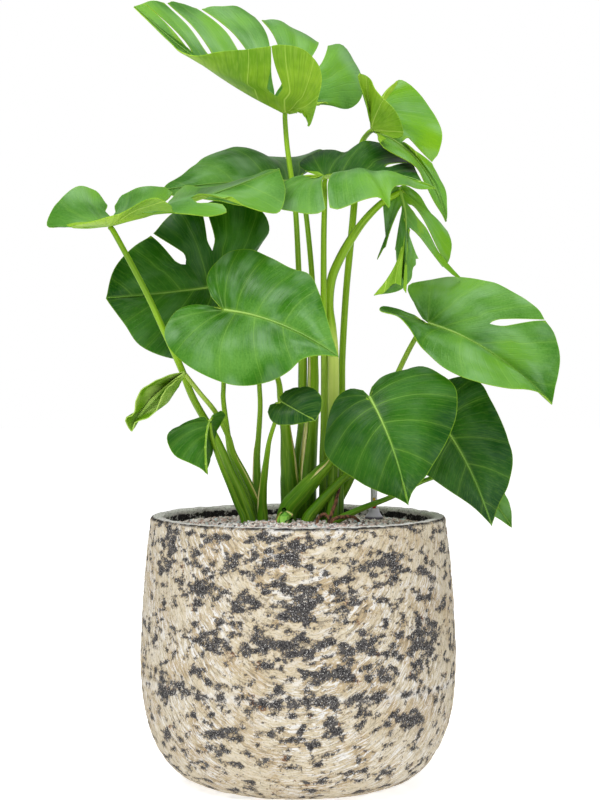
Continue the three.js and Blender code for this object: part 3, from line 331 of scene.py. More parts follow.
# %% The leaves' lines
LEAVES = {
    "top": {
        "rib": [(-15, 10, 763), (-98, 4, 810), (-186, 10, 883)],
        "faces": [(0.52, -0.23, 0.8)],
        "left": {
            "edge": [
                (-11, -2, 759), (-3, -14, 758), (3, -28, 759), (9, -44, 751), (13, -56, 741),
                (18, -64, 756), (23, -72, 774), (24, -78, 792), (19, -84, 810), (7, -88, 823),
                (-8, -90, 827), (-23, -88, 825), (-37, -86, 821), (-57, -78, 821), (-86, -64, 821),
                (-117, -42, 821), (-146, -14, 840),
            ],
            "bulge": (0.02, 0.12, -0.06, -0.12, -0.08, 0),
            "slits": [(11.55, 0.44, 21, 0.7)],
            "meets": [(0, 10.4), (0.04, 12), (0.4, 14.4)],
        },
        "right": {
            "edge": [
                (5, 16, 768), (30, 34, 774), (58, 56, 772), (74, 78, 788), (72, 96, 816), (53, 108, 851),
                (30, 112, 856), (5, 110, 870), (-19, 104, 879), (-48, 98, 880), (-73, 90, 893),
                (-95, 82, 894), (-119, 72, 894), (-138, 58, 896), (-157, 44, 894), (-170, 26, 891),
            ],
            "bulge": (0.1, 0.12, 0.1, 0.02),
            "slits": [
                (6, 0.4, 16, 12), (9.15, 0.12, 20, 9), (12, 0.2, 15, 7), (14, 0.2, 9, 6),
                (15.4, 0.12, 4, 0.5),
            ],
            "meets": [(0, 5.5), (0.08, 9), (0.19, 12), (0.44, 14), (0.6, 15.4)],
        },
        "wave": (3, 3, 0.1),
        "stalk": [
            (0, 50, 262, 7), (-1, 50, 317, 7), (-1, 48, 358, 5.6), (2, 44, 381, 5.4),
            (5, 40, 409, 5.3), (5, 36, 451, 5.2), (5, 32, 484, 5.1), (3, 28, 526, 4.2),
            (1, 24, 572, 3.3), (-3, 19, 650, 3.1), (-10, 17, 704, 3), (-13, 15, 727, 2.9),
            (-15, 13, 753, 2.8), (-15, 9.9, 762, 2.8),
        ],
    },
    "left": {
        "rib": [(-211, -30, 633), (-122, -60, 656), (-21, -52, 694)],
        "faces": [(-0.1, -0.25, 1), (0, -0.45, 1)],
        "left": {
            "edge": [
                (-222, -20, 637), (-250, -6, 635), (-285, 6, 632), (-281, 24, 656), (-268, 40, 673),
                (-253, 52, 681), (-235, 56, 675), (-216, 52, 659), (-204, 60, 672), (-189, 60, 681),
                (-173, 56, 683), (-156, 46, 680), (-141, 32, 673), (-127, 24, 680), (-105, 8, 678),
                (-84, -12, 680), (-61, -26, 686), (-38, -40, 693),
            ],
            "bulge": (0, -0.08, -0.06, 0),
            "slits": [(7, 0.72, 13, 9), (12, 0.4, 12, 5)],
        },
        "right": {
            "edge": [
                (-220, -42, 629), (-237, -62, 628), (-249, -80, 629), (-229, -100, 631),
                (-204, -112, 636), (-184, -118, 643), (-166, -122, 654), (-151, -124, 659),
                (-138, -120, 652), (-133, -116, 642), (-117, -112, 638), (-96, -110, 637),
                (-78, -108, 642), (-76, -104, 654), (-72, -100, 661), (-58, -104, 650), (-37, -100, 642),
                (-20, -90, 643), (-14, -72, 667),
            ],
            "bulge": (0, -0.03, 0.06, 0.14, 0.06),
            "slits": [(9, 0.5, 4, 2), (13, 0.62, 12, 7)],
        },
        "wave": (2.5, 3, 0.2),
        "stalk": [
            (-50, 8, 262, 7.4), (-55, 8, 295, 7.2), (-65, 3, 325, 6), (-77, -2, 353, 5),
            (-92, -8, 389, 4.4), (-118, -18, 436, 4.1), (-133, -24, 474, 3.9), (-150, -30, 512, 3.6),
            (-172, -34, 560, 3.3), (-204, -35, 620, 3.2), (-211, -32, 630, 3),
        ],
    },
    "centre_back": {
        "rib": [(0, 76, 690), (-76, 70, 688), (-159, 58, 678)],
        "faces": [(0, -0.35, 1), (0, -0.5, 1)],
        "left": {
            "edge": [
                (-1, 62, 681), (-9, 46, 668), (-28, 38, 662), (-51, 34, 660), (-74, 32, 660),
                (-99, 34, 663), (-125, 40, 668), (-146, 48, 672),
            ],
            "bulge": (0.1, 0.1, 0.05, 0),
        },
        "right": {
            "edge": [
                (6, 92, 698), (21, 112, 709), (33, 126, 726), (25, 134, 734), (10, 146, 728),
                (-5, 150, 724), (-20, 152, 721), (-39, 146, 723), (-58, 140, 731), (-79, 134, 735),
                (-97, 128, 730), (-114, 118, 721), (-125, 104, 709), (-137, 88, 696), (-150, 72, 688),
            ],
            "bulge": (0.04, 0.08, 0.1, 0.02),
            "slits": [(6, 0.6, 5, 2)],
        },
        "wave": (2.5, 2, 0),
        "stalk": [
            (9, 28, 262, 11), (10, 26, 319, 10.6), (11, 26, 359, 10), (15, 26, 410, 8.2),
            (17, 28, 451, 6.6), (17, 30, 484, 6), (17, 36, 526, 4), (16, 46, 576, 3.2),
            (9, 64, 650, 3), (3, 74, 678, 2.9), (1, 76, 688, 2.6),
        ],
    },
    "centre": {
        "rib": [(31, 4, 688), (96, -8, 693), (155, -20, 675)],
        "faces": [(-0.05, -0.55, 1), (0, -0.6, 1)],
        "left": {
            "edge": [
                (23, 14, 695), (10, 24, 697), (1, 38, 705), (7, 50, 715), (23, 58, 724), (41, 60, 725),
                (54, 58, 722), (65, 56, 726), (78, 58, 733), (91, 58, 732), (106, 54, 727),
                (120, 48, 717), (131, 38, 708), (135, 26, 699), (136, 8, 691), (143, -12, 679),
            ],
            "bulge": (0, 0.04, 0.06, 0.04),
            "slits": [(12, 0.3, 6, 0.6)],
        },
        "right": {
            "edge": [
                (20, -8, 686), (2, -16, 685), (-11, -24, 684), (-21, -34, 676), (-25, -44, 663),
                (-21, -52, 649), (-8, -58, 645), (7, -62, 643), (20, -66, 644), (33, -70, 646),
                (46, -74, 650), (66, -80, 657), (88, -84, 660), (100, -88, 648), (102, -74, 665),
                (109, -62, 673), (123, -48, 675), (139, -30, 673),
            ],
            "bulge": (0.05, 0.14, 0.2, 0.18, 0.05),
            "slits": [(9, 0.2, 11, 5)],
        },
        "wave": (2, 2, 0.3),
        "stalk": [
            (27, 14, 262, 5.6), (29, 13, 320, 5.2), (29, 12, 366, 4.8), (30, 10, 411, 4.4),
            (30, 6, 484, 4.2), (29, 4, 549, 3.6), (29, 3, 617, 3.3), (30, 3, 660, 3.1),
            (30, 3, 672, 3), (30, 3.5, 681, 2.8), (31, 4, 686, 2.6),
        ],
    },
    "right_high": {
        "rib": [(86, 46, 746), (140, 38, 708), (170, 18, 639)],
        "faces": [(0.3, -0.6, 0.7), (0.8, -0.6, 0.1)],
        "left": {
            "edge": [
                (94, 50, 757), (104, 60, 772), (112, 68, 788), (115, 74, 806), (124, 76, 807),
                (139, 76, 797), (154, 74, 776), (164, 68, 758), (167, 60, 739), (163, 54, 720),
                (157, 50, 706), (164, 40, 692), (170, 30, 675), (171, 22, 657),
            ],
            "bulge": (0.05, 0.1, 0.1, 0.05),
            "slits": [(10, 0.26, 17, 2)],
            "meets": [(0, 8.2), (0.24, 10), (0.5, 12.3)],
            "bow": 0.2,
        },
        "right": {
            "edge": [
                (82, 38, 755), (77, 26, 774), (68, 16, 804), (74, 22, 808), (83, 24, 803), (89, 12, 788),
                (106, 0, 768), (115, -6, 751), (119, -4, 733), (106, 0, 729), (94, 4, 728),
                (106, 4, 718), (121, 4, 710), (135, 2, 701), (143, 18, 686), (152, 16, 667),
                (162, 16, 651),
            ],
            "bulge": (0, -0.05, 0.05, 0.08),
            "slits": [(9, 0.12, 3, 7)],
            "meets": [(0, 8.6), (0.12, 11), (0.36, 13), (0.6, 15)],
        },
        "wave": (2, 2, 0),
        "stalk": [
            (46, 22, 262, 6), (47, 22, 319, 5.4), (48, 30, 388, 4.6), (50, 38, 434, 4.2),
            (51, 44, 483, 3.8), (55, 48, 553, 3.8), (60, 51, 608, 4), (65, 60, 660, 4),
            (67, 70, 691, 3.8), (69, 76, 717, 3.5), (75, 72, 735, 3.2), (81, 60, 743, 3),
            (86, 46.9, 746, 2.8),
        ],
    },
    "drooping": {
        "rib": [(115, -10, 676), (118, -34, 609), (85, -38, 553)],
        "faces": [(0.1, -1, 0.4), (0.1, -1, 0.2)],
        "left": {
            "edge": [
                (119, -10, 678), (127, -8, 676), (138, -5, 667), (148, 0, 650), (160, 4, 637),
                (170, 6, 627), (175, 6, 611), (173, 5, 597), (170, 4, 587), (177, 6, 582), (186, 8, 575),
                (177, 0, 576), (157, -10, 580), (135, -22, 587), (129, -28, 582), (126, -34, 570),
                (112, -38, 558),
            ],
            "bulge": (0.05, 0.08, 0.06, 0.03),
            "slits": [(8, 0.12, 12, 2), (12, 0.18, 22, 38)],
            "meets": [(0, 6), (0.06, 8), (0.26, 12), (0.45, 13.5)],
            "bow": -0.08,
        },
        "right": {
            "edge": [
                (110, -8, 677), (103, -4, 674), (97, 0, 666), (96, 2, 655), (98, 2, 638), (98, 2, 617),
                (95, 2, 605), (89, 2, 594), (101, -12, 589), (112, -34, 582), (119, -52, 556),
                (116, -50, 557), (110, -46, 566), (103, -42, 563), (96, -40, 556),
            ],
            "bulge": (0.05, 0.08, 0.08, 0.03),
            "slits": [(8, 0.14, 7, 22), (11, 0.3, 5, 4)],
            "meets": [(0, 5.5), (0.1, 8), (0.28, 11), (0.6, 12.5)],
        },
        "wave": (1.5, 2, 0.5),
        "stalk": [
            (38, -4, 262, 7), (39, -4, 321, 6.8), (40, -6, 390, 6.4), (40, -6, 435, 6.2),
            (40, 0, 484, 6), (38, 10, 515, 5.7), (35, 17, 543, 5.4), (38, 17, 572, 5.3),
            (47, 14, 595, 5.2), (60, 8, 618, 5), (76, 0, 640, 4.3), (94, -6, 658, 3.8),
            (109, -9, 667, 3.3), (118, -10, 672, 2.8),
        ],
    },
    "back_left": {
        "rib": [(-85, 80, 568), (-153, 74, 559), (-224, 60, 552)],
        "faces": [(0, -1, 0.2), (-0.1, -1, 0.1)],
        "left": {
            "edge": [
                (-79, 78, 557), (-71, 74, 536), (-74, 70, 508), (-94, 66, 488), (-122, 64, 479),
                (-155, 62, 483), (-185, 60, 497), (-202, 58, 521), (-219, 58, 544),
            ],
            "bulge": (0.06, 0.1, 0.08, 0.03),
        },
        "right": {
            "edge": [
                (-75, 82, 574), (-59, 86, 592), (-46, 88, 613), (-34, 90, 631), (-41, 92, 653),
                (-62, 94, 665), (-88, 96, 669), (-115, 96, 667), (-142, 94, 658), (-175, 88, 629),
                (-200, 80, 607), (-217, 70, 583),
            ],
            "bulge": (0.06, 0.08, 0.08, 0.03),
            "slits": [(7, 0.44, 10, 5), (9, 0.42, 15, 4)],
            "meets": [(0, 4.4), (0.13, 7.4), (0.2, 9), (0.6, 10.6)],
        },
        "wave": (2, 2, 0.2),
        "stalk": [
            (-50, 38, 262, 6), (-56, 38, 312, 5.6), (-65, 40, 339, 4.8), (-77, 42, 366, 4),
            (-82, 44, 395, 3.4), (-87, 50, 433, 2.9), (-87, 56, 452, 2.8), (-87, 70, 515, 2.7),
            (-86, 79, 560, 2.6),
        ],
    },
    "front_heart": {
        "rib": [(-82, -70, 537), (-19, -92, 521), (44, -110, 486)],
        "faces": [(-0.1, -1, 0.25), (0.1, -1, 0.35)],
        "left": {
            "edge": [
                (-96, -70, 551), (-101, -64, 570), (-93, -56, 588), (-76, -50, 602), (-56, -50, 605),
                (-34, -54, 597), (-11, -62, 584), (12, -72, 576), (23, -84, 556), (35, -98, 516),
            ],
            "bulge": (0.08, 0.12, 0.1, 0.04),
        },
        "right": {
            "edge": [
                (-97, -72, 541), (-115, -74, 543), (-136, -76, 535), (-147, -80, 515), (-140, -88, 493),
                (-117, -96, 473), (-85, -104, 458), (-59, -108, 454), (-31, -112, 459), (-11, -114, 469),
                (4, -112, 482), (24, -112, 487),
            ],
            "bulge": (0.08, 0.12, 0.1, 0.04),
        },
        "wave": (2, 2, 0.1),
        "stalk": [
            (-7, 34, 262, 11), (-9, 32, 319, 11), (-10, 30, 338, 10.6), (-11, 28, 359, 9.4),
            (-15, 24, 405, 6), (-20, 16, 434, 3.8), (-23, 4, 458, 3.2), (-36, -24, 490, 3),
            (-60, -52, 520, 2.9), (-80, -68.8, 535, 2.7),
        ],
    },
    "low_right": {
        "rib": [(79, -60, 441), (103, -88, 387), (121, -90, 322)],
        "faces": [(-0.1, -1, 0.4), (0, -1, 0.1)],
        "left": {
            "edge": [
                (82, -60, 452), (93, -58, 463), (115, -54, 470), (138, -48, 474), (161, -46, 464),
                (176, -48, 448), (177, -54, 428), (172, -62, 407), (159, -72, 382), (143, -80, 357),
                (127, -86, 338),
            ],
            "bulge": (0.06, 0.12, 0.1, 0.04),
        },
        "right": {
            "edge": [
                (72, -60, 448), (58, -60, 450), (42, -60, 439), (33, -58, 415), (28, -56, 386),
                (33, -58, 371), (52, -64, 356), (71, -72, 344), (89, -80, 336), (107, -86, 330),
            ],
            "bulge": (0.06, 0.12, 0.1, 0.04),
        },
        "wave": (1.5, 2, 0.4),
        "stalk": [
            (-18, 4, 262, 11), (-14, 2, 298, 11), (-9, -2, 314, 11), (0, -6, 325, 10.8),
            (11, -12, 338, 10), (25, -20, 354, 8), (37, -28, 368, 5.4), (56, -42, 396, 4.2),
            (69, -52, 421, 3.6), (78, -59, 439, 3),
        ],
    },
    "behind_right": {
        "rib": [(156, 10, 418), (191, 0, 365), (221, 0, 291)],
        "faces": [(0.1, -1, 0.4), (0.1, -1, 0.1)],
        "left": {
            "edge": [
                (157, 12, 432), (158, 16, 448), (171, 20, 458), (191, 22, 461), (208, 22, 455),
                (220, 20, 439), (238, 14, 398), (245, 10, 371), (241, 6, 341), (230, 4, 316),
            ],
            "bulge": (0.05, 0.1, 0.08, 0.03),
        },
        "right": {
            "edge": [
                (144, 10, 426), (128, 8, 423), (115, 4, 405), (118, 0, 378), (132, -2, 359),
                (149, -2, 347), (174, -2, 330), (199, 0, 313),
            ],
            "bulge": (0.05, 0.1, 0.08, 0.03),
        },
        "wave": (2, 2, 0.6),
        "stalk": [
            (6, -6, 262, 7), (10, -6, 297, 6.8), (23, -8, 316, 6), (37, -10, 332, 5.4),
            (53, -12, 348, 4.8), (82, -10, 373, 4), (120, 0, 399, 3.4), (153, 9, 415, 2.8),
        ],
    },
    "right_slit": {
        "rib": [(148, 10, 523), (218, -10, 490), (287, -20, 431)],
        "faces": [(-0.1, -1, 0.3), (0.1, -1, 0.3)],
        "left": {
            "edge": [
                (142, 10, 527), (133, 10, 543), (125, 12, 564), (143, 16, 571), (171, 18, 576),
                (199, 16, 574), (224, 12, 569), (248, 6, 556), (270, 0, 541), (281, -4, 526),
                (292, -8, 508), (296, -14, 485), (294, -17, 465), (290, -19, 447),
            ],
            "bulge": (0.06, 0.12, 0.1, 0.04),
            "slits": [(9, 0.42, 11, 1.5)],
            "meets": [(0, 5.5), (0.16, 9), (0.5, 10.8)],
            "bow": -0.03,
        },
        "right": {
            "edge": [
                (132, 0, 532), (117, -12, 538), (95, -26, 542), (94, -34, 536), (114, -38, 529),
                (125, -42, 516), (138, -48, 496), (162, -56, 473), (193, -62, 459), (225, -60, 451),
                (257, -46, 448), (277, -30, 442),
            ],
            "bulge": (0, 0.08, 0.12, 0.1, 0.05),
        },
        "wave": (2, 2, 0.2),
        "stalk": [
            (32, 34, 262, 7), (38, 32, 301, 6.8), (47, 30, 321, 6.2), (56, 28, 337, 5.6),
            (80, 22, 388, 4), (116, 14, 470, 3.1), (135, 11, 507, 2.9), (147, 10, 522, 2.6),
        ],
    },
    "small_left": {
        "rib": [(-99, -50, 413), (-102, -64, 386), (-100, -72, 355)],
        "faces": [(-0.3, -1, 0.3), (-0.3, -1, 0.1)],
        "left": {
            "edge": [
                (-95, -48, 420), (-86, -44, 424), (-81, -38, 419), (-87, -30, 409), (-93, -30, 393),
                (-96, -38, 378), (-99, -58, 366),
            ],
            "bulge": (0, 0.1, 0.1, 0),
        },
        "right": {
            "edge": [
                (-105, -52, 419), (-124, -60, 413), (-142, -66, 403), (-145, -68, 392), (-137, -70, 376),
                (-121, -72, 368), (-107, -72, 361),
            ],
            "bulge": (0.05, 0.1, 0.1, 0),
        },
        "wave": (1, 2, 0),
        "stalk": [
            (-57, -8, 262, 3.8), (-62, -8, 299, 3.6), (-69, -12, 316, 3.4), (-78, -20, 340, 3.2),
            (-88, -32, 366, 2.8), (-96, -44, 392, 2.4), (-99, -49, 411, 2),
        ],
    },
    "small_centre": {
        "rib": [(-19, -75, 436), (-1, -86, 426), (19, -90, 415)],
        "faces": [(0, -1, 0.3)],
        "left": {
            "edge": [
                (-21, -74, 441), (-13, -72, 448), (0, -74, 452), (14, -78, 452), (25, -84, 443),
                (26, -88, 429),
            ],
            "bulge": (0.05, 0.1, 0.1, 0),
        },
        "right": {
            "edge": [
                (-25, -74, 435), (-32, -74, 431), (-33, -76, 421), (-25, -80, 411), (-11, -84, 410),
                (4, -88, 412),
            ],
            "bulge": (0.05, 0.1, 0.1, 0),
        },
        "wave": (0.5, 2, 0),
        "stalk": [
            (-40, 10, 262, 6.4), (-41, 8, 300, 6.2), (-41, 0, 321, 5.2), (-39, -16, 345, 4.2),
            (-35, -36, 374, 3.2), (-32, -48, 392, 2.6), (-25, -64, 415, 2.3), (-20, -74, 434, 2),
        ],
    },
    "curled_left": {
        "rib": [(-127, -44, 467), (-162, -46, 438), (-186, -54, 402)],
        "faces": [(0, -1, 0.3)],
        "left": {
            "edge": [
                (-137, -48, 459), (-148, -54, 449), (-154, -60, 438), (-158, -62, 426), (-168, -60, 417),
                (-181, -58, 413),
            ],
            "bulge": (-0.3, -0.35, -0.3, -0.1),
        },
        "right": {
            "edge": [
                (-138, -48, 465), (-152, -54, 460), (-171, -60, 449), (-179, -62, 435), (-182, -62, 421),
                (-192, -58, 415),
            ],
            "bulge": (-0.3, -0.35, -0.3, -0.1),
        },
        "wave": (1, 2, 0),
        "stalk": [
            (-38, 22, 262, 5), (-41, 18, 302, 4.8), (-48, 10, 321, 4.6), (-61, 2, 349, 4.2),
            (-74, -8, 375, 3.8), (-79, -16, 394, 3.2), (-93, -28, 422, 2.9), (-111, -38, 445, 2.7),
            (-126, -43.5, 465, 2.4),
        ],
    },
    "small_behind": {
        "rib": [(201, 40, 341), (225, 44, 318), (248, 40, 286)],
        "faces": [(0, -1, 0.3)],
        "left": {
            "edge": [
                (205, 42, 350), (216, 44, 352), (229, 46, 343), (239, 46, 327), (247, 44, 308),
            ],
            "bulge": (0.05, 0.1, 0.1, 0),
        },
        "right": {
            "edge": [
                (193, 40, 343), (190, 38, 332), (197, 38, 319), (213, 38, 307), (232, 40, 296),
            ],
            "bulge": (0.05, 0.1, 0.1, 0),
        },
        "wave": (0.5, 2, 0),
        "stalk": [
            (25, -22, 262, 4.6), (32, -22, 292, 4.4), (51, -18, 303, 4), (74, -10, 313, 3.4),
            (106, 4, 324, 2.9), (146, 20, 342, 2.6), (179, 32, 349, 2.3), (200, 39, 342, 2),
        ],
    },
    "sheltered": {
        "rib": [(-49, 20, 503), (-68, 0, 524), (-104, -24, 506)],
        "faces": [(-0.4, -1, 0.4), (-0.4, -1, 0)],
        "left": {
            "edge": [
                (-44, 18, 496), (-41, 14, 485), (-50, 8, 476), (-65, 0, 474), (-79, -8, 481),
                (-92, -16, 490),
            ],
            "bulge": (0.05, 0.12, 0.1, 0),
        },
        "right": {
            "edge": [
                (-46, 24, 515), (-44, 26, 531), (-53, 24, 545), (-69, 16, 551), (-86, 4, 547),
                (-96, -10, 533), (-103, -18, 519),
            ],
            "bulge": (0.05, 0.12, 0.1, 0),
        },
        "wave": (1, 2, 0),
        "stalk": [
            (-44, 46, 262, 6), (-48, 46, 317, 5.6), (-48, 44, 341, 4.8), (-48, 42, 370, 4),
            (-46, 40, 392, 3.2), (-44, 37, 426, 2.9), (-45, 34, 452, 2.8), (-46, 27, 480, 2.6),
            (-49, 21, 500, 2.4),
        ],
    },
}
print(len(LEAVES), "leaves")

# %% [markdown]
# ## The surface of a leaf
#
# A heart-shaped leaf is two half blades that meet at the midrib. In each half the side veins fan out from
# the stalk's end and from the midrib, and sweep forwards to the edge. That gives every point of a half two
# places: s runs round the edge from the notch at the stalk (0) to the tip (1), and t runs out along a vein
# from the midrib (0) to the edge (1). A slit is a line of constant s along which the blade has parted, so
# a flat grid in s and t, split at the slits and then bent into place, is the whole leaf.
#
# FAN_END is the share of the edge whose veins all start at the stalk, and VEIN_SWEEP crowds the others'
# starts towards it. A slit is round over its first SLIT_ROUND, and the fingers beside it draw apart by a
# power of at most SPREAD_POWER. The edge draws in a little at each slit's mouth: NOTCH_SPAN and NOTCH_DEPTH
# say how widely and how far. RIGHT_PHASE keeps the two halves' ripples apart.

# %% The surface of a leaf
FAN_END = 0.3
VEIN_SWEEP = 1.8
VEIN_BOW = 0.05
SLIT_ROUND = 0.2
SPREAD_POWER = 3
SPREAD_SPARE = 0.7
NOTCH_SPAN = 0.4
NOTCH_DEPTH = 0.8
DEEPEST_NOTCH = 0.2
RIGHT_PHASE = 0.37
FAR_AWAY = 99.0
MIDDLING_RIB = 130


def rib_curve(leaf):
    """Start, control and end point of the midrib's arc, in millimetres."""
    start, middle, end = (np.array(p, float) for p in leaf["rib"])
    return start, 2 * middle - (start + end) / 2, end


def rib_point(leaf, place):
    start, control, end = rib_curve(leaf)
    place = np.asarray(place, float)[:, None]
    return mix(mix(start, control, place), mix(control, end, place), place)


def rib_ahead(leaf, place):
    start, control, end = rib_curve(leaf)
    return direction(mix(control - start, end - control, np.asarray(place, float)[:, None]))


def rib_length(leaf):
    return np.linalg.norm(np.diff(rib_point(leaf, np.linspace(0, 1, 9)), axis=0), axis=1).sum()


def leaf_size(leaf):
    """Size next to a middling leaf, for the details that are finer on a small one."""
    return min(1.1, max(0.35, rib_length(leaf) / MIDDLING_RIB))


def blade_up(leaf, place):
    """The way the upper face looks at each place along the midrib."""
    ahead = rib_ahead(leaf, place)
    faces = np.array(leaf["faces"], float)
    up = mix(faces[0], faces[-1], np.asarray(place, float)[:, None])
    return direction(up - ahead * (up * ahead).sum(1, keepdims=True))


class HalfBlade:
    """One half of a leaf as a surface over s and t."""

    def __init__(self, leaf, name):
        self.leaf = leaf
        self.side = leaf[name]
        self.count = len(self.side["edge"])
        self.edge_line = [*self.side["edge"], leaf["rib"][2]]
        self.slits = self.side.get("slits", ())
        self.cuts = [slit[0] / self.count for slit in self.slits]
        self.fingers = list(zip([0, *self.cuts], [*self.cuts, 1]))
        self.shift = 0 if name == "left" else RIGHT_PHASE

    def edge(self, s):
        return spline(self.edge_line, s)

    def edge_length(self, s):
        """Millimetres of edge for a whole step of s, near each s."""
        reach = 0.5 / self.count
        low, high = np.clip(s - reach, 0, 1), np.clip(s + reach, 0, 1)
        return np.linalg.norm(self.edge(high) - self.edge(low), axis=1) / (high - low)

    def rib_place(self, s):
        """Where the vein that ends at s leaves the midrib."""
        if "meets" in self.side:
            known = [] if self.side["meets"][0][0] == 0 else [(0, self.count * FAN_END)]
            known += [*self.side["meets"], (1, self.count)]
            return np.interp(s * self.count, [at for _, at in known], [place for place, _ in known])
        return np.clip((s - FAN_END) / (1 - FAN_END), 0, 1) ** VEIN_SWEEP

    def half_gap(self, slit, t):
        """Half of a slit's width at t, as a step of s. It starts round and narrows to its mouth."""
        at, start, width, mouth = slit
        within = np.clip((t - start) / (1 - start), 0, 1)
        opening = np.sqrt(np.minimum(within / SLIT_ROUND, 1)) * mix(width, mouth, smooth(within))
        ends = self.edge(np.array([at - 1, at + 1]) / self.count)
        span = np.linalg.norm(ends[1] - ends[0])
        return opening / (span * self.count * np.maximum(t, 0.2))

    def drawn(self, s, t, finger):
        """s once the fingers beside each slit have drawn apart, and millimetres to the nearest cut. A wide
        finger gives way only near the slit, so its veins keep their sweep, and a narrow one as a whole."""
        moved, to_cut = s.copy(), np.full(len(s), FAR_AWAY)
        length = self.edge_length(s)
        for k, (start, end) in enumerate(self.fingers):
            own = finger == k
            low = np.full(own.sum(), float(start))
            high = np.full(own.sum(), float(end))
            if k:
                low += self.half_gap(self.slits[k - 1], t[own])
            if k < len(self.slits):
                high -= self.half_gap(self.slits[k], t[own])
            share = (s[own] - start) / (end - start)
            spare = SPREAD_SPARE * (end - start) / np.maximum(low - start + end - high, 1e-6)
            power = np.clip(spare, 1, SPREAD_POWER)
            moved[own] += (low - start) * (1 - share) ** power - (end - high) * share**power
            across = length[own] * (mix(0.5, 1, t[own]) if start >= FAN_END else t[own])
            before = self.slits[k - 1][1] if k else 0
            to_cut[own] = np.hypot((moved[own] - low) * across, FAR_AWAY * np.maximum(before - t[own], 0))
            if k < len(self.slits):
                ahead = FAR_AWAY * np.maximum(self.slits[k][1] - t[own], 0)
                to_cut[own] = np.minimum(to_cut[own], np.hypot((high - moved[own]) * across, ahead))
        return moved, to_cut

    def surface(self, s, t, finger):
        """Points in millimetres, and the distances that relief and finish need."""
        leaf, side = self.leaf, self.side
        place = self.rib_place(s)
        start = rib_point(leaf, place)
        moved, to_cut = self.drawn(s, t, finger)
        end = self.edge(moved)
        reach = np.linalg.norm(end - start, axis=1)
        up = blade_up(leaf, place)
        dip = np.zeros(len(s))
        for at, _, _, mouth in self.slits:
            beside = (s * self.count - at) / NOTCH_SPAN
            dip += NOTCH_DEPTH * mouth / np.maximum(reach, 1) * np.exp(-(beside**2))
        out = (t * (1 - np.minimum(dip, DEEPEST_NOTCH)))[:, None]
        rise = 2 * along(side["bulge"], s) * reach
        sweep = 2 * side.get("bow", VEIN_BOW) * reach * smooth(s / 0.5)
        control = (start + end) / 2 + up * rise[:, None] - rib_ahead(leaf, place) * sweep[:, None]
        points = mix(mix(start, control, out), mix(control, end, out), out)
        swell, waves, phase = leaf["wave"]
        ripple = np.sin(2 * np.pi * (waves * s + phase + self.shift)) * np.sin(np.pi * s)
        points += up * (swell * t**2 * ripple)[:, None]
        return points, {"reach": reach, "to_cut": to_cut, "to_rib": reach * t}


print("the top leaf's midrib:", round(float(rib_length(LEAVES["top"]))), "mm")

# %% [markdown]
# ## Veins, relief and thickness
#
# Only the main side veins show: one down the middle of each finger, and one about every seventh of an
# uncut edge. They lie in soft valleys, and the blade domes up a little between them, which breaks the
# sheen into streaks. The grid gets a column exactly on every main vein and every slit, so that both stay
# sharp. Along the midrib both halves sink the same way, so they stay joined there. The corners also carry
# their distance from the midrib, the nearest main vein and the nearest free edge, and the finish draws
# the pale veins and the thin bright margin from those.

# %% A half blade as a mesh
ROWS = 22
COLUMN_STEP = 5.5
VEIN_EVERY = 0.15
VALLEY_WIDTH = 9
VALLEY_DEPTH = 2.0
RIB_VALLEY_DEPTH = 1.2
RELIEF_FROM_RIB = 30
CRINKLE_SIZE = 42
CRINKLE_DEPTH = 2.4
VEIN_SLANT = 0.7
BLADE_THICKNESS = 1.0
WELD = 1e-5
SEAM = 0.01
UPPER, UNDER, RIB = range(3)
# The tone mark carries each leaf's own green together with its painted shade.
MARKS = ("to_vein", "to_rib", "to_edge", "vein_place", "tone_and_shade", "size")


def main_veins(half):
    """The s of each main side vein: the middle of every finger, or several where it is wide."""
    veins = []
    for start, end in half.fingers:
        count = max(1, round((end - start) / VEIN_EVERY))
        veins += [mix(start, end, (k + 0.5) / count) for k in range(count)]
    return veins


def columns_of(half, veins):
    """Every column of the grid, with one on each vein and each slit."""
    stops = sorted([0, 1, *half.cuts, *veins])
    columns = [0.0]
    for start, end in zip(stops, stops[1:]):
        length = float(half.edge_length(np.array([(start + end) / 2]))[0]) * (end - start)
        steps = max(2, math.ceil(length / COLUMN_STEP))
        columns += [mix(start, end, (k + 1) / steps) for k in range(steps)]
    return np.array(columns)


def parted_grid(bm, half, columns):
    """Adds a flat grid, split at the slits. Returns its corners with each one's s, t and finger."""
    last = len(columns) - 1
    bmesh.ops.create_grid(bm, x_segments=last, y_segments=ROWS, size=0.5)
    column = lambda x: round((x + 0.5) * last, 2)
    row = lambda y: round((y + 0.5) * ROWS)

    cut_columns = {int(np.abs(columns - cut).argmin()): slit for cut, slit in zip(half.cuts, half.slits)}
    parted = []
    for edge in bm.edges:
        at = [column(v.co.x) for v in edge.verts]
        if at[0] == at[1] and at[0] in cut_columns:
            outer = max(row(v.co.y) for v in edge.verts) / ROWS
            if outer > cut_columns[at[0]][1]:
                parted.append(edge)
    bmesh.ops.split_edges(bm, edges=parted)

    corners = list(bm.verts)
    s = columns[[round(column(v.co.x)) for v in corners]]
    t = np.array([row(v.co.y) / ROWS for v in corners])
    beside = [column(v.link_faces[0].calc_center_median().x) for v in corners]
    finger = np.array([sum(x > cut for cut in cut_columns) for x in beside])
    return corners, s, t, finger


def vein_distance(half, veins, s, t):
    """Millimetres from each corner to the nearest main vein."""
    nearest = veins[np.abs(s[:, None] - veins[None, :]).argmin(1)]
    along_rib = np.abs(half.rib_place(s) - half.rib_place(nearest)) * rib_length(half.leaf)
    return mix(along_rib * VEIN_SLANT, np.abs(s - nearest) * half.edge_length(s), t)


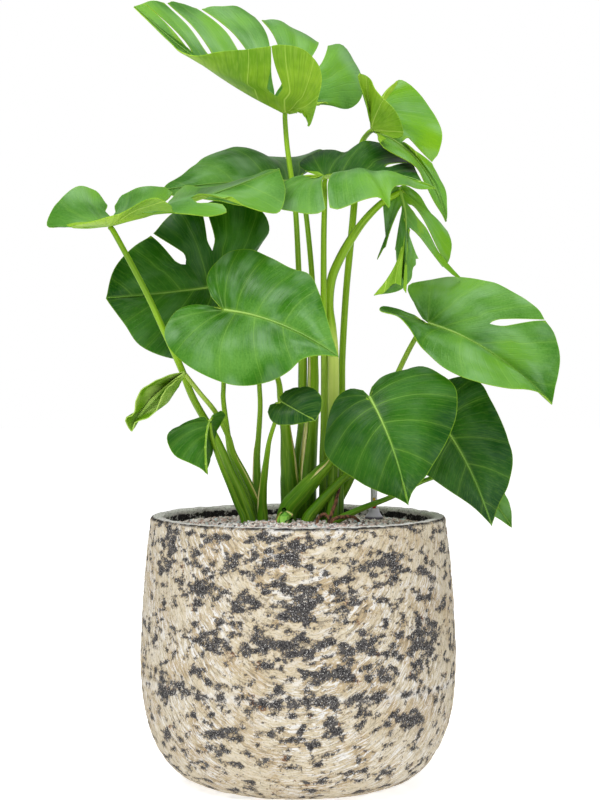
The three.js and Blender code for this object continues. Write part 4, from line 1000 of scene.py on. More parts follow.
def relief(points, t, to_vein, to_rib, size):
    """How far each corner stands above the smooth blade, in millimetres: valleys and a soft crinkle."""
    valley = 1 - np.exp(-((to_vein / (VALLEY_WIDTH * size)) ** 2))
    groove = 1 - np.exp(-((to_rib / VALLEY_WIDTH) ** 2))
    fade = np.sqrt(np.clip(to_rib / RELIEF_FROM_RIB, 0, 1) * np.clip(8 * (1 - t), 0.35, 1))
    crinkle = np.array([noise.noise(Vector(p) / CRINKLE_SIZE) for p in points])
    height = (VALLEY_DEPTH * (valley - 0.7) + CRINKLE_DEPTH * crinkle) * fade
    return height + RIB_VALLEY_DEPTH * (groove - 1)


def half_blade(leaf, name, tone_and_shade):
    """A bmesh of one half: a grid over s and t, split at the slits, bent into place and given relief."""
    half = HalfBlade(leaf, name)
    veins = np.array(main_veins(half))
    bm = bmesh.new()
    layers = [bm.verts.layers.float.new(mark) for mark in MARKS]
    uv = bm.loops.layers.uv.new("blade")
    corners, s, t, finger = parted_grid(bm, half, columns_of(half, veins))
    points, known = half.surface(s, t, finger)
    size = leaf_size(leaf)
    to_vein = vein_distance(half, veins, s, t)
    height = relief(points, t, to_vein, known["to_rib"], size)

    to_edge = np.minimum(known["to_cut"], (1 - t) * known["reach"])
    values = (to_vein, known["to_rib"], to_edge, t, np.full(len(t), tone_and_shade), np.full(len(t), size))
    for k, corner in enumerate(corners):
        corner.co = points[k] * MM
        for layer, value in zip(layers, values):
            corner[layer] = value[k]
        for loop in corner.link_loops:
            loop[uv].uv = (s[k] * size, t[k] * size)
    if name == "right":
        bmesh.ops.reverse_faces(bm, faces=bm.faces)
    bm.normal_update()
    at_rib = blade_up(leaf, half.rib_place(s))
    lifts = []
    for corner, up, away, rise in zip(corners, at_rib, known["to_rib"], height):
        lifts.append((Vector(up) if away < SEAM else corner.normal) * (rise * MM))
    for corner, lift in zip(corners, lifts):
        corner.co += lift
    bmesh.ops.remove_doubles(bm, verts=bm.verts, dist=WELD)
    return bm


def joined(parts):
    """Several bmeshes as one. Their layers of the same name run on."""
    whole = bmesh.new()
    for part in parts:
        passing = bpy.data.meshes.new("passing")
        part.to_mesh(passing)
        part.free()
        whole.from_mesh(passing)
        bpy.data.meshes.remove(passing)
    return whole


def thickened(bm, thickness, under):
    """Gives a sheet its thickness downwards: its faces stay below with their own material, and a copy of
    them, joined all round, stays where the sheet was."""
    bm.normal_update()
    below = [(corner, corner.normal.copy()) for corner in bm.verts]
    for face in bm.faces:
        face.material_index = under
    made = bmesh.ops.extrude_face_region(bm, geom=list(bm.faces))
    for item in made["geom"]:
        if isinstance(item, bmesh.types.BMFace):
            item.material_index = UPPER
    for corner, up in below:
        corner.co -= up * thickness
    return bm

# %% [markdown]
# ## Tubes
#
# Stalks, roots, the cane and the midribs are all tubes that follow a smooth line and change width on the
# way. A disc is extruded again and again, and each new ring is set across the line. The disc it came from
# is taken out, all but the first, so nothing is left inside. Every corner carries its place as if the tube
# were straightened out: two lengths across and one along. Stripes and fibres drawn from that run along the
# tube however it leans.

# %% Tubes
STALK_SIDES = 14
RING_STEP = 5
POINTS_PER_BEND = 4


def tube(bm, route, sides=STALK_SIDES, step=RING_STEP, outline=None, material=0):
    """Adds a closed tube through (x, y, z, radius) points in millimetres, scaled by outline(angle, place)."""
    route = np.array(route, float)
    length = np.linalg.norm(np.diff(route[:, :3], axis=0), axis=1).sum()
    rings = max(POINTS_PER_BEND * (len(route) - 1), round(length / step))
    places = np.linspace(0, 1, rings + 1)
    centres = spline(route[:, :3], places)
    radii = along(route[:, 3], places)
    ahead = direction(np.gradient(centres, axis=0))
    grain = bm.verts.layers.float_vector.get("grain") or bm.verts.layers.float_vector.new("grain")
    turn = bm.verts.layers.int.get("turn") or bm.verts.layers.int.new("turn")
    made = bmesh.ops.create_circle(bm, cap_ends=True, segments=sides, radius=1)
    corners = made["verts"]
    for k, corner in enumerate(corners):
        corner[turn] = k
    cap = corners[0].link_faces[0]
    cap.material_index = material
    across = Vector((1, 0, 0))
    for k, place in enumerate(places):
        forward = Vector(ahead[k])
        across = (across - forward * across.dot(forward)).normalized()
        other = forward.cross(across)
        if k:
            grown = bmesh.ops.extrude_face_region(bm, geom=[cap])["geom"]
            if k > 1:
                bm.faces.remove(cap)
            cap = next(item for item in grown if isinstance(item, bmesh.types.BMFace))
            corners = list(cap.verts)
        for corner in corners:
            angle = 2 * math.pi * corner[turn] / sides
            reach = radii[k] * (outline(angle, place) if outline else 1)
            flat = Vector((math.cos(angle), math.sin(angle))) * reach
            corner.co = (Vector(centres[k]) + across * flat.x + other * flat.y) * MM
            corner[grain] = (flat.x * MM, flat.y * MM, length * place * MM)
    return bm


def closed_outward(bm):
    """Turns every face of a closed mesh outwards."""
    bmesh.ops.recalc_face_normals(bm, faces=bm.faces)
    return bm


print("a plain tube:", len(tube(bmesh.new(), [(0, 0, 0, 5), (0, 0, 40, 5)]).faces), "faces")

# %% [markdown]
# ## Leaf finishes
#
# The upper side is a satin, slightly waxy green. It runs from a deep saturated green to a lighter, yellower
# one in broad soft patches, and young leaves are lighter and yellower than old ones; leaves and halves that
# hang in shade are also set darker, as painted shade. The main veins are thin and only a little paler, the
# midrib has a soft pale halo, and many faint fine veins run between. Broad pale bluish patches, drawn out
# along the veins, are painted sheen that stands in for the wax's highlights, fainter on the darker leaves.
# The underside is a bright yellow green, because light comes through the blade, and duller. A thin pale
# margin runs round every free edge. The wax is a Principled shader with middling roughness: in a bright
# room that gives the broad soft highlights of the real leaf, over the painted sheen.

# %% Leaf finishes
LEAF_GREENS = (
    (0.0, (8, 58, 10)), (0.25, (28, 78, 0)), (0.45, (46, 100, 12)),
    (0.65, (84, 134, 52)), (0.85, (92, 144, 22)), (1.0, (104, 152, 8)),
)
LEAF_VEIN = paint(122, 166, 62)
LEAF_MARGIN = paint(128, 166, 34)
LEAF_PAINTED_SHEEN = paint(134, 170, 128)
SIDE_VEINS = 34
UNDER_DEEP = paint(92, 138, 0)
UNDER_BRIGHT = paint(134, 172, 30)
UNDER_DARK = paint(70, 112, 0)
UNDER_VEIN = paint(174, 200, 90)
SCROLL_DEEP = paint(92, 138, 10)
SCROLL_BRIGHT = paint(150, 182, 84)
RIB_PALE = paint(132, 170, 66)
RIB_GREEN = paint(92, 140, 38)


def vein_lines(finish, width):
    """1 on a main vein, thinning out towards the edge, 0 beside it. Small leaves have thinner veins."""
    thin = finish.step(finish.carried("vein_place"), 0.0, 1.0, width, width * 0.35)
    thin = finish.math("MULTIPLY", thin, finish.carried("size"))
    share = finish.math("DIVIDE", finish.carried("to_vein"), thin)
    return finish.step(share, 1.0, 0.45)


def fine_veins(finish):
    """Faint streaks that run out along the blade's own veins."""
    return finish.noise(finish.stretched(finish.blade(), (1.0, 0.035, 1.0)), 150, detail=2)


def painted_sheen_patches(finish):
    """Broad patches of painted sheen, drawn out along the veins."""
    return finish.noise(finish.stretched(finish.blade(), (7.0, 1.5, 1.0)), 1.0, detail=2)


def side_veins(finish):
    """1 on each of the thin side veins that run between the main ones."""
    round_edge = finish.node("SeparateXYZ", {"Vector": finish.blade()}).outputs["X"]
    sway = finish.noise(finish.stretched(finish.blade(), (1.0, 0.2, 1.0)), 6)
    counted = finish.math("MULTIPLY_ADD", round_edge, SIDE_VEINS, finish.math("MULTIPLY", sway, 1.2))
    return finish.step(finish.math("PINGPONG", counted, 0.5), 0.13, 0.0)


def leaf_upper():
    finish = Finish("leaf_upper", Roughness=0.4, Specular_IOR_Level=0.2, IOR=1.4)
    broad = finish.noise(finish.place(), 15, detail=1)
    mottle = finish.noise(finish.place(), 420, detail=2)
    # The carried tone holds painted shade for the leaves and halves that lie in shade, as well as each leaf's
    # own green.
    tone = finish.math("ADD", finish.carried("tone_and_shade"), finish.step(broad, 0.3, 0.7, -0.17, 0.15))
    tone = finish.math("ADD", tone, finish.step(mottle, 0.3, 0.7, -0.03, 0.03))
    green = finish.shades(tone, [(at, paint(*colour)) for at, colour in LEAF_GREENS])
    # Painted sheen: pale bluish patches blended into the colour in place of the wax's highlights, fainter on
    # the darker leaves.
    painted_sheen = finish.step(painted_sheen_patches(finish), 0.44, 0.72, 0, 0.34)
    painted_sheen = finish.math("MULTIPLY", painted_sheen, finish.step(finish.carried("tone_and_shade"), 0.15, 0.5, 0.2, 1))
    green = finish.blend(painted_sheen, green, LEAF_PAINTED_SHEEN)
    streaks = fine_veins(finish)
    green = finish.blend(finish.step(streaks, 0.4, 0.75, 0, 0.1), green, LEAF_VEIN)
    thin = side_veins(finish)
    green = finish.blend(finish.math("MULTIPLY", thin, 0.06), green, LEAF_VEIN)
    halo = finish.step(finish.carried("to_vein"), 5.0, 0.0, 0, 0.08)
    green = finish.blend(halo, green, LEAF_VEIN)
    from_rib = finish.math("DIVIDE", finish.carried("to_rib"), finish.carried("size"))
    green = finish.blend(finish.step(from_rib, 4.0, 0.6, 0, 0.35), green, LEAF_VEIN)
    green = finish.blend(finish.math("MULTIPLY", vein_lines(finish, 0.75), 0.22), green, LEAF_VEIN)
    margin = finish.step(finish.carried("to_edge"), 1.0, 0.4, 0, 0.45)
    green = finish.blend(margin, green, LEAF_MARGIN)
    height = finish.math("MULTIPLY", finish.math("SUBTRACT", streaks, thin), 0.00014)
    shine = finish.step(broad, 0.3, 0.7, 0.32, 0.44)
    return finish.finish(green, shine, height)


def leaf_under():
    finish = Finish("leaf_under", Roughness=0.6, Specular_IOR_Level=0.3)
    blotches = finish.noise(finish.place(), 18)
    green = finish.blend(finish.step(blotches, 0.3, 0.7), UNDER_DEEP, UNDER_BRIGHT)
    streaks = fine_veins(finish)
    green = finish.blend(finish.step(streaks, 0.4, 0.7, 0, 0.16), green, UNDER_VEIN)
    green = finish.blend(finish.math("MULTIPLY", side_veins(finish), 0.3), green, UNDER_DARK)
    green = finish.blend(finish.math("MULTIPLY", vein_lines(finish, 1.1), 0.6), green, UNDER_VEIN)
    height = finish.math("MULTIPLY", streaks, 0.0003)
    return finish.finish(green, None, height)


def leaf_scroll():
    """A leaf that is still unfurling shows only its underside: smooth, pale and faintly clouded."""
    finish = Finish("leaf_scroll", Roughness=0.5, Specular_IOR_Level=0.3)
    clouds = finish.noise(finish.place(), 45, detail=1)
    green = finish.blend(finish.step(clouds, 0.35, 0.65), SCROLL_DEEP, SCROLL_BRIGHT)
    margin = finish.step(finish.carried("to_edge"), 1.2, 0.4, 0, 0.5)
    return finish.finish(finish.blend(margin, green, UNDER_VEIN))


def leaf_rib():
    """Pale where the stalk joins, and nearly as green as the blade towards the tip."""
    finish = Finish("leaf_rib", Roughness=0.45)
    from_stalk = finish.node("SeparateXYZ", {"Vector": finish.grain()}).outputs["Z"]
    sway = finish.math("MULTIPLY_ADD", finish.noise(finish.place(), 90), 0.03, from_stalk)
    return finish.finish(finish.blend(finish.step(sway, 0.02, 0.13), RIB_PALE, RIB_GREEN))


blade_finishes = [leaf_upper(), leaf_under(), leaf_rib()]
scroll_finishes = [leaf_scroll()] * 3
print("leaf finishes:", [material.name for material in blade_finishes])

# %% [markdown]
# ## The leaves
#
# Each leaf is its two half blades, thickened downwards, and a midrib: a tapering tube let into the blade,
# which shows above as a narrow pale line and stands out below as a keel. The table of tones gives each
# leaf's tone, or the tones of its two halves, from old, dark or shaded (0) to young and yellow (1). The
# tones are partly the leaves' age and partly painted shade: the far half of the centre leaf, and leaves
# that hang in the shade of others, such as back_left, behind_right and small_centre, are set darker than
# their own green. The curled leaf is still a scroll, and both its sides have the scroll's smooth pale finish.

# %% The leaves
RIB_WIDE = 1.6
RIB_THIN = 0.45
RIB_STOPS = 6
RIB_SIDES = 10
RIB_SUNK = 0.62
BLADE_CREASE = math.radians(50)
# Tones per leaf, or per half as (left, right). The low ones are partly painted shade; the centre leaf's left
# half is darkened only because it lies in shade.
TONE_AND_SHADE = {
    "top": 0.64, "left": (0.66, 0.6), "centre_back": 0.5, "centre": (0.12, 0.68), "right_high": 0.84,
    "drooping": (0.76, 0.66), "back_left": 0.27, "front_heart": 0.46, "low_right": 0.22,
    "behind_right": 0.17, "right_slit": 0.6, "small_left": 0.22, "small_centre": 0.0, "curled_left": 0.8,
    "small_behind": 0.5, "sheltered": 0.3,
}
SCROLLS = ("curled_left",)


def rib_route(leaf):
    """The midrib's line, sunk into the blade and thinning to the tip."""
    places = np.linspace(0, 1, RIB_STOPS)
    widths = mix(RIB_WIDE, RIB_THIN, np.sqrt(places)) * leaf_size(leaf)
    centres = rib_point(leaf, places) - blade_up(leaf, places) * (widths * RIB_SUNK)[:, None]
    return np.column_stack([centres, widths])


def add_leaf(name, leaf):
    """Both half blades and the midrib of one leaf, as one piece."""
    tones = TONE_AND_SHADE[name] if isinstance(TONE_AND_SHADE[name], tuple) else (TONE_AND_SHADE[name], TONE_AND_SHADE[name])
    sheets = [half_blade(leaf, side, tone) for side, tone in zip(("left", "right"), tones)]
    halves = [thickened(sheet, BLADE_THICKNESS * MM, UNDER) for sheet in sheets]
    rib = closed_outward(tube(bmesh.new(), rib_route(leaf), sides=RIB_SIDES, material=RIB))
    bm = joined([*halves, rib])
    finishes = scroll_finishes if name in SCROLLS else blade_finishes
    piece = add_piece(f"leaf_{name}", bm, finishes, [f"leaf_{name}_blade"])
    piece.data.set_sharp_from_angle(angle=BLADE_CREASE)


for name, leaf in LEAVES.items():
    add_leaf(name, leaf)

# %% [markdown]
# ## Stalks
#
# A stalk is thick at its foot, where its two sheath wings once held the next leaf, and thins upwards. It is
# darkest at the foot, lighter above, and finely striped along its length. Its outline is not quite round:
# the sheath leaves a shallow channel with two raised edges on one side of the lower half. Where the dried
# rim of a sheath shows in front, it is a thin pale strip laid along the stalk. Pairs such as PALE_ENDS are
# heights in metres between which one colour gives way to the next.

# %% Stalks
CHANNEL_DEPTH = 0.16
CHANNEL_HALF = 0.75
CHANNEL_END = 0.55
CHANNEL_LIP = 0.05
STALK_FOOT = paint(70, 120, 6)
STALK_TOP = paint(122, 164, 18)
STALK_STRIPE = paint(164, 194, 60)
STALK_DARK = paint(48, 92, 4)
STALK_PALE = paint(208, 220, 118)
FOOT_TO_TOP = (0.30, 0.47)
PALE_STARTS = (0.40, 0.45)
PALE_ENDS = (0.49, 0.53)
PALE_STALKS = {
    "drooping": 0.75, "centre": 0.15, "right_slit": 0.15, "curled_left": 0.3, "small_centre": 0.3,
}


def stalk_finish():
    finish = Finish("stalk_green", Roughness=0.45, Specular_IOR_Level=0.25)
    stripes = finish.noise(finish.stretched(finish.grain(), (1.0, 1.0, 0.01)), 520, detail=3)
    height = finish.height()
    green = finish.blend(finish.step(height, *FOOT_TO_TOP), STALK_FOOT, STALK_TOP)
    shade = finish.noise(finish.stretched(finish.grain(), (1.0, 1.0, 0.08)), 130, detail=1)
    green = finish.blend(finish.step(shade, 0.48, 0.66, 0, 0.55), green, STALK_DARK)
    pale = finish.math("MULTIPLY", finish.carried("pale"), finish.step(height, *PALE_STARTS))
    pale = finish.math("MULTIPLY", pale, finish.step(height, *PALE_ENDS, 1, 0))
    green = finish.blend(pale, green, STALK_PALE)
    green = finish.blend(finish.step(stripes, 0.44, 0.68, 0, 0.3), green, STALK_STRIPE)
    return finish.finish(green, None, finish.math("MULTIPLY", stripes, 0.0004))


def sheath_finish():
    """Dry cream skin, greener in places, with thin lines along it."""
    finish = Finish("sheath_skin", Roughness=0.6)
    lines = finish.noise(finish.stretched(finish.grain(), (1.0, 1.0, 0.02)), 900, detail=2)
    colour = finish.blend(finish.step(lines, 0.35, 0.65), paint(186, 178, 92), paint(238, 230, 168))
    green = finish.step(finish.noise(finish.place(), 34), 0.5, 0.66, 0, 0.6)
    colour = finish.blend(green, colour, paint(150, 182, 50))
    return finish.finish(colour, None, finish.math("MULTIPLY", lines, 0.0003))


stalk_finishes = [stalk_finish(), sheath_finish()]


def channelled(angle, place):
    """A round outline with a shallow channel, raised at both its edges, along the back of the lower half."""
    away = abs(math.remainder(angle - math.pi / 2, 2 * math.pi)) / CHANNEL_HALF
    fade = max(0, 1 - place / CHANNEL_END)
    lip = CHANNEL_LIP * math.exp(-((away - 2) ** 2) * 3)
    return 1 - fade * (CHANNEL_DEPTH * math.exp(-(away**2)) - lip)


# %% [markdown]
# SHEATHS says where a dried rim lies: the side of the stalk it is on, as an angle from the right with the
# front at -90, where along the stalk it starts and ends, and half its width in millimetres.

# %% Sheath rims
SHEATHS = {
    "centre_back": [(-132, 0.14, 0.56, 3.2)],
    "front_heart": [(-28, 0.2, 0.47, 3.0)],
    "sheltered": [(-160, 0.12, 0.5, 1.9)],
    "small_centre": [(-150, 0.18, 0.5, 1.7)],
    "low_right": [(-120, 0.5, 0.72, 1.4)],
    "curled_left": [(-60, 0.15, 0.5, 1.2)],
}
SHEATH_STOPS = 9
SHEATH_SIDES = 10
SHEATH_FLATNESS = 0.28


def sheath_rim(route, side, start, end, half_width):
    """A flat closed strip along a stalk, widest low down and pointed at both ends."""
    route = np.array(route, float)
    places = np.linspace(start, end, SHEATH_STOPS)
    share = np.linspace(0, 1, SHEATH_STOPS)
    turn = math.radians(side)
    outward = np.array([math.cos(turn), math.sin(turn), 0])
    centres = spline(route[:, :3], places) + outward * along(route[:, 3], places)[:, None]
    widths = half_width * np.clip(np.minimum(share / 0.25, (1.1 - share) / 0.7), 0.12, 1)

    def flattened(angle, place):
        return 1 / math.hypot(math.sin(angle - turn), math.cos(angle - turn) / SHEATH_FLATNESS)

    return tube(bmesh.new(), np.column_stack([centres, widths]), SHEATH_SIDES, outline=flattened, material=1)


for name, leaf in LEAVES.items():
    parts = [tube(bmesh.new(), leaf["stalk"], outline=channelled)]
    parts += [sheath_rim(leaf["stalk"], *rim) for rim in SHEATHS.get(name, ())]
    parts = [closed_outward(part) for part in parts]
    for part in parts:
        pale = part.verts.layers.float.new("pale")
        for corner in part.verts:
            corner[pale] = PALE_STALKS.get(name, 0)
    add_piece(f"stalk_{name}", joined(parts), stalk_finishes, [f"leaf_{name}_stalk"])

# %% [markdown]
# ## The planter
#
# The real planter is cast in fibre clay and rubbed with pigments: a cream and ochre ground with brushed
# white streaks, broken by rough charcoal patches where the coarse body shows, which lie a little deeper.
# Its wall is one turned profile. The profile is spun, then its outside is roughened point by point, and
# each corner keeps how much of the coarse crust shows there, so colour and relief agree.

# %% The planter's profile
POT_HEIGHT = 304
POT_RADIUS = 180
POT_WIDEST_AT = 146
POT_BASE_RADIUS = 90
POT_BELLY_POWER = 2.45
POT_RIM_RADIUS = 168
POT_SHOULDER_POWER = 1.6
POT_WALL = 15
POT_FLOOR = 16
POT_LIP_ROUND = 4
POT_SIDES = 320
BELLY_STEPS = 70
SHOULDER_STEPS = 72
LIP_STEPS = 5
FLOOR_CORNER = 20
FILL_HEIGHT = 288
FILL_MOUND = 7
INNER_LEVELS = (284, 270, 230, POT_WIDEST_AT, 90, 55, 34)


def outer_radius(z):
    if z >= POT_WIDEST_AT:
        rise = (z - POT_WIDEST_AT) / (POT_HEIGHT - POT_WIDEST_AT)
        return POT_RADIUS - (POT_RADIUS - POT_RIM_RADIUS) * rise**POT_SHOULDER_POWER
    level = 1 - z / POT_WIDEST_AT
    return mix(POT_BASE_RADIUS, POT_RADIUS, (1 - level**POT_BELLY_POWER) ** (1 / POT_BELLY_POWER))


def inner_radius(z):
    return outer_radius(z) - POT_WALL


def planter_profile():
    """Radius and height from the middle of the base, up the outside, over the lip and down inside."""
    profile = [(0, 0), (POT_BASE_RADIUS * 0.5, 0)]
    for k in range(BELLY_STEPS + 1):
        turn = math.pi / 2 * k / BELLY_STEPS
        radius = mix(POT_BASE_RADIUS, POT_RADIUS, math.sin(turn) ** (2 / POT_BELLY_POWER))
        profile.append((radius, POT_WIDEST_AT * (1 - math.cos(turn) ** (2 / POT_BELLY_POWER))))
    lip_start = POT_HEIGHT - POT_LIP_ROUND
    for k in range(1, SHOULDER_STEPS + 1):
        z = mix(POT_WIDEST_AT, lip_start, k / SHOULDER_STEPS)
        profile.append((outer_radius(z), z))
    rim = outer_radius(POT_HEIGHT)
    for middle, start in ((rim - POT_LIP_ROUND, 0), (rim - POT_WALL + POT_LIP_ROUND, 90)):
        for k in range(1, LIP_STEPS + 1):
            turn = math.radians(start + 90 * k / LIP_STEPS)
            across, up = POT_LIP_ROUND * math.cos(turn), POT_LIP_ROUND * math.sin(turn)
            profile.append((middle + across, lip_start + up))
    for z in (296, 292, 288, *INNER_LEVELS):
        profile.append((inner_radius(z), z))
    return [*profile, (inner_radius(INNER_LEVELS[-1]) - FLOOR_CORNER, POT_FLOOR), (0, POT_FLOOR)]


def turned(profile, sides):
    """A closed solid from a profile of (radius, height) points spun once round the Z axis."""
    bm = bmesh.new()
    line = [bm.verts.new((radius * MM, 0, z * MM)) for radius, z in profile]
    edges = [bm.edges.new(pair) for pair in zip(line, line[1:])]
    bmesh.ops.spin(bm, geom=[*line, *edges], cent=(0, 0, 0), axis=(0, 0, 1), angle=2 * math.pi,
                   steps=sides, use_merge=True)
    bmesh.ops.remove_doubles(bm, verts=bm.verts, dist=WELD)
    return closed_outward(bm)


pot_profile = planter_profile()
print("planter:", len(pot_profile), "points,", round(2 * max(r for r, _ in pot_profile)), "mm at its widest")

# %% [markdown]
# The crust gathers in level bands and in loose clusters. CRUST_AREAS names the ones that show in front, as
# angle from the viewer's side and height in the middle, then half the width and half the height, in
# degrees and millimetres. Everywhere else a wandering noise decides, so the back is finished alike.

# %% Crust on the planter
CRUST_AREAS = (
    (-9, 265, 9, 12), (-5, 286, 6, 6), (0, 217, 12, 11), (-5, 178, 14, 10), (24, 177, 7, 9),
    (-31, 180, 7, 11), (18, 150, 13, 8), (-20, 222, 5, 12), (-37, 235, 7, 10), (-52, 290, 5, 10),
    (-58, 262, 6, 12), (50, 178, 8, 22), (8, 120, 24, 6), (-52, 126, 7, 10), (12, 91, 4, 12),
    (40, 100, 8, 5), (44, 88, 6, 8), (-27, 80, 6, 8), (-28, 134, 5, 5), (3, 283, 5, 6),
    (34, 263, 8, 8), (24, 226, 6, 7), (-12, 296, 5, 5), (50, 222, 5, 7), (2, 240, 10, 7),
)
CRUST_BANDS = ((178, 16), (120, 7), (262, 26))
BAND_WEIGHT = 0.07
AREA_WEIGHT = 0.42
DRIFT_WEIGHT = 0.3
CRUST_COVER = -0.115
CRUST_ROUGHNESS = 0.5
CRUST_SIZE = Vector((15, 15, 8.5))
CRUST_DEPTH = 1.3
WOBBLE_SIZE = 48
WOBBLE_DEPTH = 0.7
GROOVE_SIZE = 5.5
GROOVE_DEPTH = 0.25
PIT_SIZE = 4.2
SMOOTH_PITS = 0.25
FLAT_BASE = 1
OUTER_SKIN = 3
FRONT_REACH = math.radians(62)


def crust_demand(angle, z):
    """How readily the crust shows at an angle from the front, in radians, and a height."""
    bands = sum(math.exp(-(((z - level) / half) ** 2)) for level, half in CRUST_BANDS)
    demand = CRUST_COVER + BAND_WEIGHT * bands
    for area_angle, level, half_angle, half in CRUST_AREAS:
        away = math.remainder(angle - math.radians(area_angle), 2 * math.pi) / math.radians(half_angle)
        demand += AREA_WEIGHT * math.exp(-(away**2) - ((z - level) / half) ** 2)
    if abs(angle) > FRONT_REACH:
        slow = noise.noise(Vector((math.sin(angle) * 2.2, math.cos(angle) * 2.2, z / 70)))
        demand += DRIFT_WEIGHT * slow * min(1, abs(angle) - FRONT_REACH)
    return demand


def crust_at(point, angle):
    """0 on the smooth ground, 1 in the middle of a patch of crust."""
    p = Vector(a / b for a, b in zip(point, CRUST_SIZE))
    rough = noise.fractal(p, 0.7, 2.3, 5) * CRUST_ROUGHNESS
    return min(1, max(0, 0.5 + 2.2 * (rough + crust_demand(angle, point.z))))


def planter():
    """The turned shell, roughened on its outside, its lip and the top of its inside."""
    bm = turned(pot_profile, POT_SIDES)
    crust_layer = bm.verts.layers.float.new("crust")
    wall_layer = bm.verts.layers.float.new("wall")
    for corner in bm.verts:
        point = corner.co / MM
        radius = point.xy.length
        if point.z < FLAT_BASE:
            continue
        angle = math.atan2(point.x, -point.y)
        crust = crust_at(point, angle)
        corner[crust_layer] = crust
        into_wall = outer_radius(min(point.z, POT_HEIGHT)) - radius
        corner[wall_layer] = into_wall / POT_WALL
        outside = into_wall < OUTER_SKIN
        wobble = noise.noise(point / WOBBLE_SIZE) * WOBBLE_DEPTH
        groove = noise.noise(Vector((math.sin(angle), math.cos(angle), point.z / GROOVE_SIZE))) * GROOVE_DEPTH
        pitted = noise.fractal(point / PIT_SIZE, 1.0, 2.0, 3) * mix(SMOOTH_PITS, 1, crust)
        sunk = -CRUST_DEPTH * crust
        lift = wobble + groove + pitted + sunk if outside or point.z > INNER_LEVELS[0] else 0
        corner.co += corner.normal * (lift * MM)
    return bm


pot_mesh = planter()
print("planter:", len(pot_mesh.faces), "faces")

# %% [markdown]
# The ground is layered: cream, ochre in soft patches, then white pigment brushed on in wrinkles, with the
# hollows between the wrinkles darkened as painted shadow, and fine dark hairlines. The strokes run level in
# the middle and slant at the sides, as slices of a tipped plane do, so their pattern is read in tipped
# coordinates. Crust edges are ragged at a finer size than the mesh: fine noise and round clumps are added to
# the carried value before it is cut off. The crust itself is charcoal with pale grains. The inside and the
# lip are mottled white and charcoal, and the lip's outer corner is a thin worn dark line.

# %% Planter finish
POT_CREAM = paint(200, 188, 162)
POT_OCHRE = paint(168, 142, 98)
POT_WHITE = paint(221, 219, 215)
POT_HAIRLINE_AND_SHADOW = paint(124, 114, 98)
POT_CHARCOAL = paint(30, 29, 32)
POT_ASH = paint(98, 95, 93)
POT_RUST = paint(132, 84, 46)
BRUSH_TILT = 1.17
BRUSH_STROKE = (0.017, 0.017, 0.0016)
HAIRLINE = (0.012, 0.012, 0.0007)
CLUMP = (0.0105, 0.0105, 0.0085)
RIDGE_HEIGHT = 0.121
LIP_LINE = (0.2995, 0.3025)
LIP_FADE = (0.3025, 0.297)


def pot_ground(finish, place, wrinkles, border):
    """The pale pigmented ground between the patches of crust."""
    ochre = finish.step(finish.noise(place, 26, detail=5, roughness=0.65), 0.46, 0.62, 0, 0.6)
    ground = finish.blend(ochre, POT_CREAM, POT_OCHRE)
    ground = finish.blend(finish.math("MULTIPLY", border, 0.5), ground, POT_OCHRE)
    brushed = finish.step(finish.noise(place, 13, detail=2), 0.36, 0.6, 0.35, 1)
    white = finish.math("MULTIPLY", finish.step(wrinkles, 0.5, 0.58), brushed)
    ground = finish.blend(white, ground, POT_WHITE)
    # Painted shadow: the hollows of the wrinkles, which are also low in the bump, are darkened.
    ground = finish.blend(finish.step(wrinkles, 0.44, 0.36, 0, 0.7), ground, POT_HAIRLINE_AND_SHADOW)
    hairs = finish.noise(finish.strokes(HAIRLINE, BRUSH_TILT), 1.0, detail=3, roughness=0.7, distortion=0.8)
    ground = finish.blend(finish.step(hairs, 0.56, 0.68, 0, 0.7), ground, POT_HAIRLINE_AND_SHADOW)
    rust = finish.step(finish.noise(place, 62, detail=4), 0.64, 0.7)
    ground = finish.blend(finish.math("MULTIPLY", rust, border), ground, POT_RUST)
    flecks = finish.step(finish.noise(place, 380, detail=3, roughness=0.7), 0.6, 0.68, 0, 0.8)
    return finish.blend(flecks, ground, POT_ASH)


